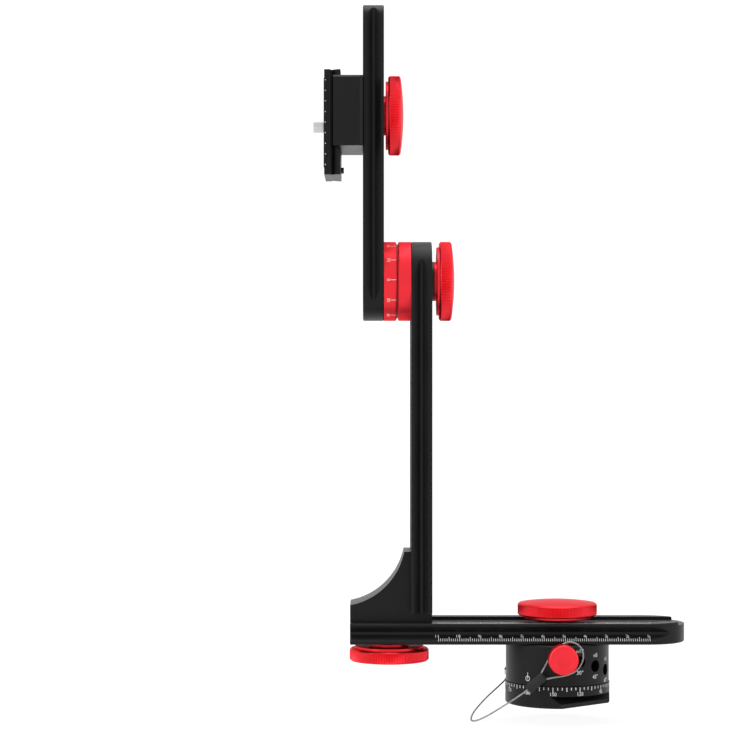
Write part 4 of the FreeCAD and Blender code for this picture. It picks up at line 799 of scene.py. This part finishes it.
# %% Words as a flat mesh
CAP_SHARE = 0.69
STROKE_SHARE = 0.012


def flat_words(words, height):
    """The points and faces of some words, centred, with a cap height in millimetres."""
    curve = bpy.data.curves.new("words", "FONT")
    curve.body = words
    curve.size = height / CAP_SHARE
    curve.align_x = "CENTER"
    curve.align_y = "CENTER"
    curve.resolution_u = 3
    curve.extrude = INK_COAT
    curve.offset = STROKE_SHARE * height
    holder = bpy.data.objects.new("words", curve)
    bpy.context.scene.collection.objects.link(holder)
    mesh = evaluated_mesh(holder)
    points = [v.co.copy() for v in mesh.vertices]
    faces = [tuple(p.vertices) for p in mesh.polygons]
    bpy.data.objects.remove(holder)
    bpy.data.curves.remove(curve)
    bpy.data.meshes.remove(mesh)
    return points, faces


# %% Figures in white ink
def figures(name, body, entries):
    """One mesh of several words. Each entry is (words, height, function from flat to place)."""
    vertices, faces = [], []
    for words, height, lay in entries:
        points, shapes = flat_words(words, height)
        first = len(vertices)
        vertices += [lay(p) * MM for p in points]
        faces += [tuple(first + n for n in shape) for shape in shapes]
    piece = mesh_object(name, vertices, (), faces)
    piece.data.materials.append(MATERIALS["white_ink"])
    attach(piece, body)
    print(name, "faces:", len(faces))


# %% The ruler's figures
def on_slope(x, up):
    """On the rail's lower groove wall, which leans back at 45 degrees, at a height up the slope."""

    def lay(p):
        along = p.y + up
        back, rise = (along - p.z) * LEAN, (along + p.z) * LEAN
        return Vector((x + p.x, RAIL_LOW.y + back, SLOPE_FOOT + rise))

    return lay


RULER_FIGURES, FIGURE_STEP = 11, 10.0
RULER_FIGURE, FIGURE_SHIFT, FIGURE_UP = 1.65, 0.75, 3.12
ruler_words = []
for n in range(RULER_FIGURES):
    lay = on_slope(RULER_END - FIGURE_STEP * n - FIGURE_SHIFT, FIGURE_UP)
    ruler_words.append((str(n + 1), RULER_FIGURE, lay))
figures("ruler_figures", "rail", ruler_words)


# %% The foot's dial
def on_cylinder(radius, degrees, height):
    """On an upright cylinder about the turning axis, at an angle from -Y toward +X."""

    def lay(p):
        angle = math.radians(degrees) + p.x / radius
        reach = radius + p.z
        return Vector((reach * math.sin(angle), -reach * math.cos(angle), height + p.y))

    return lay


FOOT_HIGH = corners("base_foot")[1]
HOUSING_RADIUS = corners("rotator_housing")[1].x
# The dial's figure 150 stands a little to the left of the front.
FRONT_ANGLE, FRONT_FIGURE = -9.3, 150
DIAL_FIGURE, DIAL_LINE_DROP, DIAL_FIGURE_DROP = 1.6, 0.2, 3.45
scale_lines(
    "foot_dial_lines", DIAL_TREE, "foot",
    Count=72, Step=5.0, Radius=FOOT_HIGH.x, Short=1.3, Middle=1.9, Long=2.4,
    Each_middle=3, Each_long=6, Width=0.42, Place=(0, 0, FOOT_HIGH.z - DIAL_LINE_DROP),
    Turn=(0, 0, math.radians(FRONT_ANGLE - 90)),
)
dial_words = []
for n in range(0, 360, 30):
    degrees = FRONT_ANGLE + FRONT_FIGURE - n
    lay = on_cylinder(FOOT_HIGH.x, degrees, FOOT_HIGH.z - DIAL_FIGURE_DROP)
    dial_words.append((str(n), DIAL_FIGURE, lay))
figures("foot_dial_figures", "foot", dial_words)

# %% [markdown]
# Four tapped holes in the housing's wall take the plunger, one for each row of pits in the drum.
# Over each hole stands the number of stops in a turn, and under it the degrees from stop to stop.

# %% Labels of the index holes
ROW_STOPS = (24, 12, 8, 6)
ROW_DROP, ROW_ANGLE = 2.5, 21.0
LABEL_OFFSET, LABEL_FIGURE = 5.1, 1.8
index_labels = []
for row, stops in enumerate(ROW_STOPS):
    height = TOP_ROW - ROW_DROP * row
    above = on_cylinder(HOUSING_RADIUS, ROW_ANGLE * row, height + LABEL_OFFSET)
    below = on_cylinder(HOUSING_RADIUS, ROW_ANGLE * row, height - LABEL_OFFSET)
    index_labels.append((f"n{stops}", LABEL_FIGURE, above))
    index_labels.append((f"{360 // stops}°", LABEL_FIGURE, below))
figures("index_labels", "turret", index_labels)

# %% [markdown]
# The turntable is read at a small mark: a ring with a line through it. Both are ribbons of ink
# along a path, with a closed box for their section, so they could be bent round any cylinder.


# %% A ribbon of ink
def strip(name, path, width, lay, body):
    """A flat ribbon of ink along a path, laid on the metal."""
    vertices, faces = [], []
    for n, spot in enumerate(path):
        ahead = path[min(n + 1, len(path) - 1)] - path[max(n - 1, 0)]
        side = Vector((-ahead.y, ahead.x, 0)).normalized() * width / 2
        for offset in (side, -side):
            for z in (-INK_COAT, INK_COAT):
                vertices.append(lay(Vector((spot.x, spot.y, z)) + offset) * MM)
    for n in range(len(path) - 1):
        a, b = 4 * n, 4 * n + 4
        for m, k in ((0, 1), (1, 3), (3, 2), (2, 0)):
            faces.append((a + m, a + k, b + k, b + m))
    end = 4 * (len(path) - 1)
    faces += [(0, 2, 3, 1), (end, end + 1, end + 3, end + 2)]
    piece = mesh_object(name, vertices, (), faces)
    piece.data.materials.append(MATERIALS["white_ink"])
    settle(piece)
    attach(piece, body)


# %% Index mark
MARK_ANGLE, MARK_HEIGHT = -39.0, 13.7
MARK_RADIUS, MARK_STROKE, MARK_SIDES = 1.1, 0.3, 24
LINE_LOW, LINE_TOP = -0.4, 2.8
mark_place = on_cylinder(HOUSING_RADIUS, MARK_ANGLE, MARK_HEIGHT)
turns = [n * 2 * math.pi / MARK_SIDES for n in range(MARK_SIDES + 1)]
ring_path = [Vector((MARK_RADIUS * math.cos(a), MARK_RADIUS * math.sin(a))) for a in turns]
line_path = [Vector((0, LINE_LOW)), Vector((0, LINE_TOP))]
strip("index_mark_ring", ring_path, MARK_STROKE, mark_place, "turret")
strip("index_mark_line", line_path, MARK_STROKE, mark_place, "turret")

# %% [markdown]
# The upper rail carries a degree ring with a line and a figure at every thirty degrees. The
# figures count up to ninety and down again, twice round the ring, and are read from the pivot's
# side.

# %% Elevation dial
RING_LOW, RING_HIGH = corners("scale_ring")
RING_RADIUS = (RING_HIGH.z - RING_LOW.z) / 2
ELEVATION = joint_place("elevation")
RING_FIGURE, RING_FIGURE_INSET, RING_LINE_INSET = 1.5, 3.9, 0.25
RING_LINE = 2.5
RING_MARKS, RING_STEP = 12, 30


def on_elevation_ring(degrees):
    """On the degree ring, whose axis is along X. The figures are read from the pivot's side."""

    def lay(p):
        angle = math.radians(degrees) + p.x / RING_RADIUS
        reach = RING_RADIUS + p.z
        across, height = reach * math.cos(angle), reach * math.sin(angle)
        return Vector((RING_HIGH.x - RING_FIGURE_INSET + p.y, -across, ELEVATION.z - height))

    return lay


ring_words = []
for step in range(RING_MARKS):
    shown = min(step, RING_MARKS - step) * RING_STEP
    lay = on_elevation_ring(RING_STEP * step)
    ring_words.append((str(min(shown, 180 - shown)), RING_FIGURE, lay))
figures("elevation_figures", "swing", ring_words)
scale_lines(
    "elevation_lines", DIAL_TREE, "swing",
    Count=RING_MARKS, Step=RING_STEP, Radius=RING_RADIUS,
    Short=RING_LINE, Middle=RING_LINE, Long=RING_LINE,
    Each_middle=1, Each_long=1, Width=0.26,
    Place=(RING_HIGH.x - RING_LINE_INSET, 0, ELEVATION.z), Turn=(0, math.radians(90), 0),
)

# %% [markdown]
# The quick-release plate has a row of short dashes down its edge, five millimetres apart, which
# help to set the camera back in the same place. They are the ruler's tree again, with all its
# lines equal.

# %% Dashes on the plate
PLATE_LOW, PLATE_HIGH = corners("quick_release_plate")
DASH, DASH_INSET, DASH_MARGIN = 0.5, 0.3, 5.0
scale_lines(
    "plate_lines", RULER_TREE, "plate",
    Count=9, Step=5.0, Short=DASH, Middle=DASH, Long=DASH, Width=0.4,
    Place=(PLATE_LOW.x + DASH_INSET, PLATE_LOW.y, PLATE_HIGH.z - DASH_MARGIN),
    Turn=(0, math.radians(90), 0),
)

# %% [markdown]
# The tether is a thin wire rope: one middle wire with six wound round it. Each wire follows the
# same route with an offset that turns as it goes, which is what winding does. The route is a
# smooth curve led by a few chosen points. The rope leaves a screw behind the housing, hangs past
# the foot, enters the crimped sleeve, and an eye from the sleeve passes round the plunger's neck.


# %% Routes of the tether, in millimetres
LEAD_ROUTE = [
    (-22.5, 11.7, 12.1),
    (-24.2, 9.9, 9.1),
    (-26.9, 7.8, 7.0),
    (-29.5, 5.5, 5.0),
    (-33.6, 1.8, 2.0),
    (-37.6, -2.3, -1.4),
    (-41.0, -7.0, -4.7),
    (-42.3, -12.5, -7.2),
    (-40.4, -17.6, -6.8),
    (-36.2, -20.8, -4.6),
    (-31.0, -22.8, -1.2),
    (-25.6, -24.3, 2.5),
    (-20.2, -25.6, 6.2),
    (-15.3, -26.7, 9.9),
]
EYE_ROUTE = [
    (-7.9, -28.5, 14.5),
    (-4.2, -28.0, 15.3),
    (1.6, -27.5, 16.0),
    (7.2, -27.3, 18.3),
    (10.4, -27.3, 24.2),
    (8.9, -27.3, 30.2),
    (3.0, -27.3, 32.5),
    (-1.9, -27.3, 29.3),
    (-5.9, -27.4, 24.6),
    (-8.0, -27.9, 20.4),
    (-10.0, -28.4, 17.2),
]


# %% A smooth route
def smooth_route(points):
    """Points along a NURBS curve that is led by the route's points, in metres."""
    curve = bpy.data.curves.new("route", "CURVE")
    curve.dimensions = "3D"
    spline = curve.splines.new("NURBS")
    spline.points.add(len(points) - 1)
    for spot, place in zip(spline.points, points):
        spot.co = (place[0] * MM, place[1] * MM, place[2] * MM, 1)
    spline.order_u = 3
    spline.use_endpoint_u = True
    spline.resolution_u = 12
    holder = bpy.data.objects.new("route", curve)
    bpy.context.scene.collection.objects.link(holder)
    mesh = evaluated_mesh(holder)
    path = [v.co.copy() for v in mesh.vertices]
    bpy.data.objects.remove(holder)
    bpy.data.curves.remove(curve)
    bpy.data.meshes.remove(mesh)
    return path


# %% The tree that winds the wires
WIRE_SIDES = 7


def rope_tree():
    """Wires wound round a route, each with its own starting angle."""
    sizes = ("Lay", "Wire", "Wound", "Spacing")
    graph, given = node_group("wire_rope", {"Wires": "Int", **dict.fromkeys(sizes, "Float")})
    line = graph.node("GeometryNodeMeshToCurve", None, given["Geometry"])
    even = graph.node(
        "GeometryNodeResampleCurve", {"mode": "LENGTH"}, line, Length=given["Spacing"]
    )
    copies = graph.node(
        "GeometryNodeDuplicateElements", {"domain": "SPLINE"}, even, Amount=given["Wires"]
    )
    length = graph.node("GeometryNodeSplineParameter")["Length"]
    start = copies["Duplicate Index"] / given["Wires"]
    angle = (start + length / given["Lay"]) * (2 * math.pi)
    normal = graph.node("GeometryNodeInputNormal")
    tangent = graph.node("GeometryNodeInputTangent")
    across = graph.node("ShaderNodeVectorMath", {"operation": "CROSS_PRODUCT"}, tangent, normal)
    steps = [
        graph.node("ShaderNodeVectorMath", {"operation": "SCALE"}, way, Scale=part * given["Wound"])
        for way, part in ((normal, angle.cos()), (across, angle.sin()))
    ]
    offset = graph.node("ShaderNodeVectorMath", {"operation": "ADD"}, *steps)
    wound = graph.node("GeometryNodeSetPosition", None, copies, Offset=offset)
    both = graph.node("GeometryNodeJoinGeometry")
    for strand in (even, wound):
        graph.fill(both.node.inputs["Geometry"], strand)
    ring = graph.node(
        "GeometryNodeCurvePrimitiveCircle", None, Resolution=WIRE_SIDES, Radius=given["Wire"]
    )
    tube = graph.node(
        "GeometryNodeCurveToMesh", None, both, Profile_Curve=ring["Curve"], Fill_Caps=True
    )
    finish_tree(graph, tube, MATERIALS["rope_steel"])
    return graph


ROPE_TREE = rope_tree()

# %% Wire rope
ROPE_SIZES = {
    "Wires": 6,
    "Lay": 3.2 * MM,
    "Wire": 0.135 * MM,
    "Wound": 0.265 * MM,
    "Spacing": 0.22 * MM,
}


def wire_rope(name, node, route):
    path = smooth_route(route)
    line = mesh_object(name, path, [(n, n + 1) for n in range(len(path) - 1)])
    rope = run_tree(line, ROPE_TREE, ROPE_SIZES, sharp=180.0)
    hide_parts(node)
    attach(rope, "turret")
    length = sum((b - a).length for a, b in zip(path, path[1:]))
    print(name, "length in mm:", round(length / MM, 1))
    path[0]


wire_rope("wire_rope_lead", "lanyard_lead", LEAD_ROUTE)
wire_rope("wire_rope_eye", "lanyard_eye", EYE_ROUTE)

# %% [markdown]
# A coil spring is held between two bodies. The piece is a copy of the solid's own mesh in bright
# steel, and the solid itself is hidden.


# %% Springs
def spring_piece(node, body_low, body_high):
    """A copy of a spring along Y in place of its solid. The two bodies are only printed."""
    coil = bpy.data.objects.new(f"{node}_coils", frame["nodes"][node].data.copy())
    bpy.context.scene.collection.objects.link(coil)
    coil.matrix_world = frame["nodes"][node].matrix_world.copy()
    coil.data.materials.clear()
    coil.data.materials.append(MATERIALS["bright_steel"])
    coil.data.polygons.foreach_set("material_index", [0] * len(coil.data.polygons))
    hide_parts(node)
    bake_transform(coil)
    print(coil.name, "between", body_low, "and", body_high)


spring_piece("plunger_spring", "turret", "plunger")
spring_piece("jaw_springs", "clamp", "jaw")

# %% [markdown]
# The remaining solids keep their shape and only take a finish. A solid's faces all use the first
# slot of its mesh, so one assignment coats it.

# %% Finishes of the solids
FINISHES = {
    "black_blasted": [
        "rotator_housing", "base_foot", "corner_bracket", "clamp_body", "clamp_jaw",
        "quick_release_plate", "retaining_ring",
    ],
    "black_rail_level": ["horizontal_rail"],
    "black_rail_standing": ["vertical_arm", "upper_rail"],
    "black_deep": ["detent_drum"],
    "black_steel": [
        "drum_screws", "retainer_screws", "arm_screws", "scale_ring_screws", "pivot_bolt",
        "clamp_bolt", "rail_keys", "plunger_sleeve", "plate_stop_screws",
    ],
    "bright_steel": [
        "thread_bush", "rail_stud", "bracket_stud", "plunger_pin", "jaw_screw", "jaw_guide_pins",
        "camera_screw", "lanyard_anchor",
    ],
    "washer_plastic": [
        "upper_thrust_washer", "lower_thrust_washer", "pivot_friction_washer", "rail_knob_washer",
        "bracket_knob_washer", "pivot_knob_washer", "clamp_knob_washer",
    ],
    "grip_rubber": ["plate_pads"],
    "sleeve_black": ["lanyard_crimp"],
}
RED_RINGS = ("scale_ring", "fixed_pivot_ring")


def coat(node, material):
    """Gives all of a solid's faces one finish."""
    for slot in frame["nodes"][node].material_slots:
        slot.material = material


for finish, names in FINISHES.items():
    for node in names:
        coat(node, MATERIALS[finish])
for node in RED_RINGS:
    coat(node, red_turned(f"red_{node}", ELEVATION, "X", ring=0.5, roughness=0.30))
print("coated solids:", len(RED_RINGS) + sum(len(names) for names in FINISHES.values()))

# %% [markdown]
# The floor is a pale sheet that bends up into a backdrop, so no line shows where they meet. To
# the camera and in reflections the surroundings are white. The light on the head itself comes
# from three soft panels and a dim world, so the black finish stays black and the red keeps its
# colour.


# %% Floor and backdrop
def white_surroundings(graph, seen, lit):
    """Chooses seen for camera, glossy and transmitted rays, and lit for the rest."""
    rays = graph.node("ShaderNodeLightPath")
    direct = rays["Is Camera Ray"].math("MAXIMUM", rays["Is Camera Ray"], rays["Is Glossy Ray"])
    direct = direct.math("MAXIMUM", direct, rays["Is Transmission Ray"])
    return graph.node("ShaderNodeMixShader", None, direct, lit, seen)


SHEET_COLOUR, WHITE = (0.86, 0.86, 0.86, 1.0), (1.0, 1.0, 1.0, 1.0)
SHEET_GLOW, GLOW_SHARE = 1.25, 0.72
floor_material, graph = new_material("studio_sheet")
lit_sheet = graph.node("ShaderNodeBsdfDiffuse", None, SHEET_COLOUR)
bright_sheet = graph.node("ShaderNodeEmission", None, WHITE, SHEET_GLOW)
half_bright = graph.node("ShaderNodeMixShader", None, GLOW_SHARE, lit_sheet, bright_sheet)
graph.node("ShaderNodeOutputMaterial", None, white_surroundings(graph, half_bright, lit_sheet))

# %% The bent sheet
FLOOR_LEVEL = -0.0092
WIDE, NEAR, FAR, RISE, BEND = 3.0, -1.6, 1.6, 2.6, 0.7
BEND_STEPS = 12
section = [(NEAR, FLOOR_LEVEL), (FAR - BEND, FLOOR_LEVEL)]
for n in range(1, BEND_STEPS + 1):
    angle = math.radians(90 / BEND_STEPS * n)
    y = FAR - BEND + BEND * math.sin(angle)
    section.append((y, FLOOR_LEVEL + BEND - BEND * math.cos(angle)))
section.append((FAR, RISE))
vertices = [(x, y, z) for y, z in section for x in (-WIDE, WIDE)]
faces = [(2 * n, 2 * n + 1, 2 * n + 3, 2 * n + 2) for n in range(len(section) - 1)]
sheet = mesh_object("studio_sheet", vertices, (), faces)
sheet.data.materials.append(floor_material)
sheet.data.shade_smooth()
print("sheet strips:", len(faces))

# %% [markdown]
# Large panels give soft edges to their reflections, which is how black metal is usually lit. The
# left and top ones are the stronger, so the rounded pieces darken gently toward the right.


# %% Lights
MIDDLE = Vector((-0.05, 0.0, 0.16))


def panel(name, place, size, power):
    """A soft rectangular light that faces the middle of the head."""
    light = bpy.data.lights.new(name, "AREA")
    light.shape = "RECTANGLE"
    light.size, light.size_y = size
    light.energy = power
    holder = bpy.data.objects.new(name, light)
    holder.location = place
    direction = MIDDLE - Vector(place)
    holder.rotation_euler = direction.to_track_quat("-Z", "Y").to_euler()
    bpy.context.scene.collection.objects.link(holder)
    print(name, "watts:", power)


panel("left_panel", place=(-1.1, -0.7, 0.75), size=(0.7, 1.1), power=9.0)
panel("right_panel", place=(1.0, -0.55, 0.55), size=(0.6, 1.0), power=3.5)
panel("top_panel", place=(-0.05, 0.15, 1.35), size=(1.2, 0.9), power=9.0)

# %% World
DIM_LEVEL, BRIGHT_LEVEL = 0.35, 1.0
world = bpy.data.worlds.new("studio")
world.use_nodes = True
world.node_tree.nodes.clear()
graph = Graph(world.node_tree)
dim = graph.node("ShaderNodeBackground", None, WHITE, DIM_LEVEL)
bright = graph.node("ShaderNodeBackground", None, WHITE, BRIGHT_LEVEL)
graph.node("ShaderNodeOutputWorld", None, white_surroundings(graph, bright, dim))
bpy.context.scene.world = world
bpy.context.scene.view_settings.view_transform = "Standard"
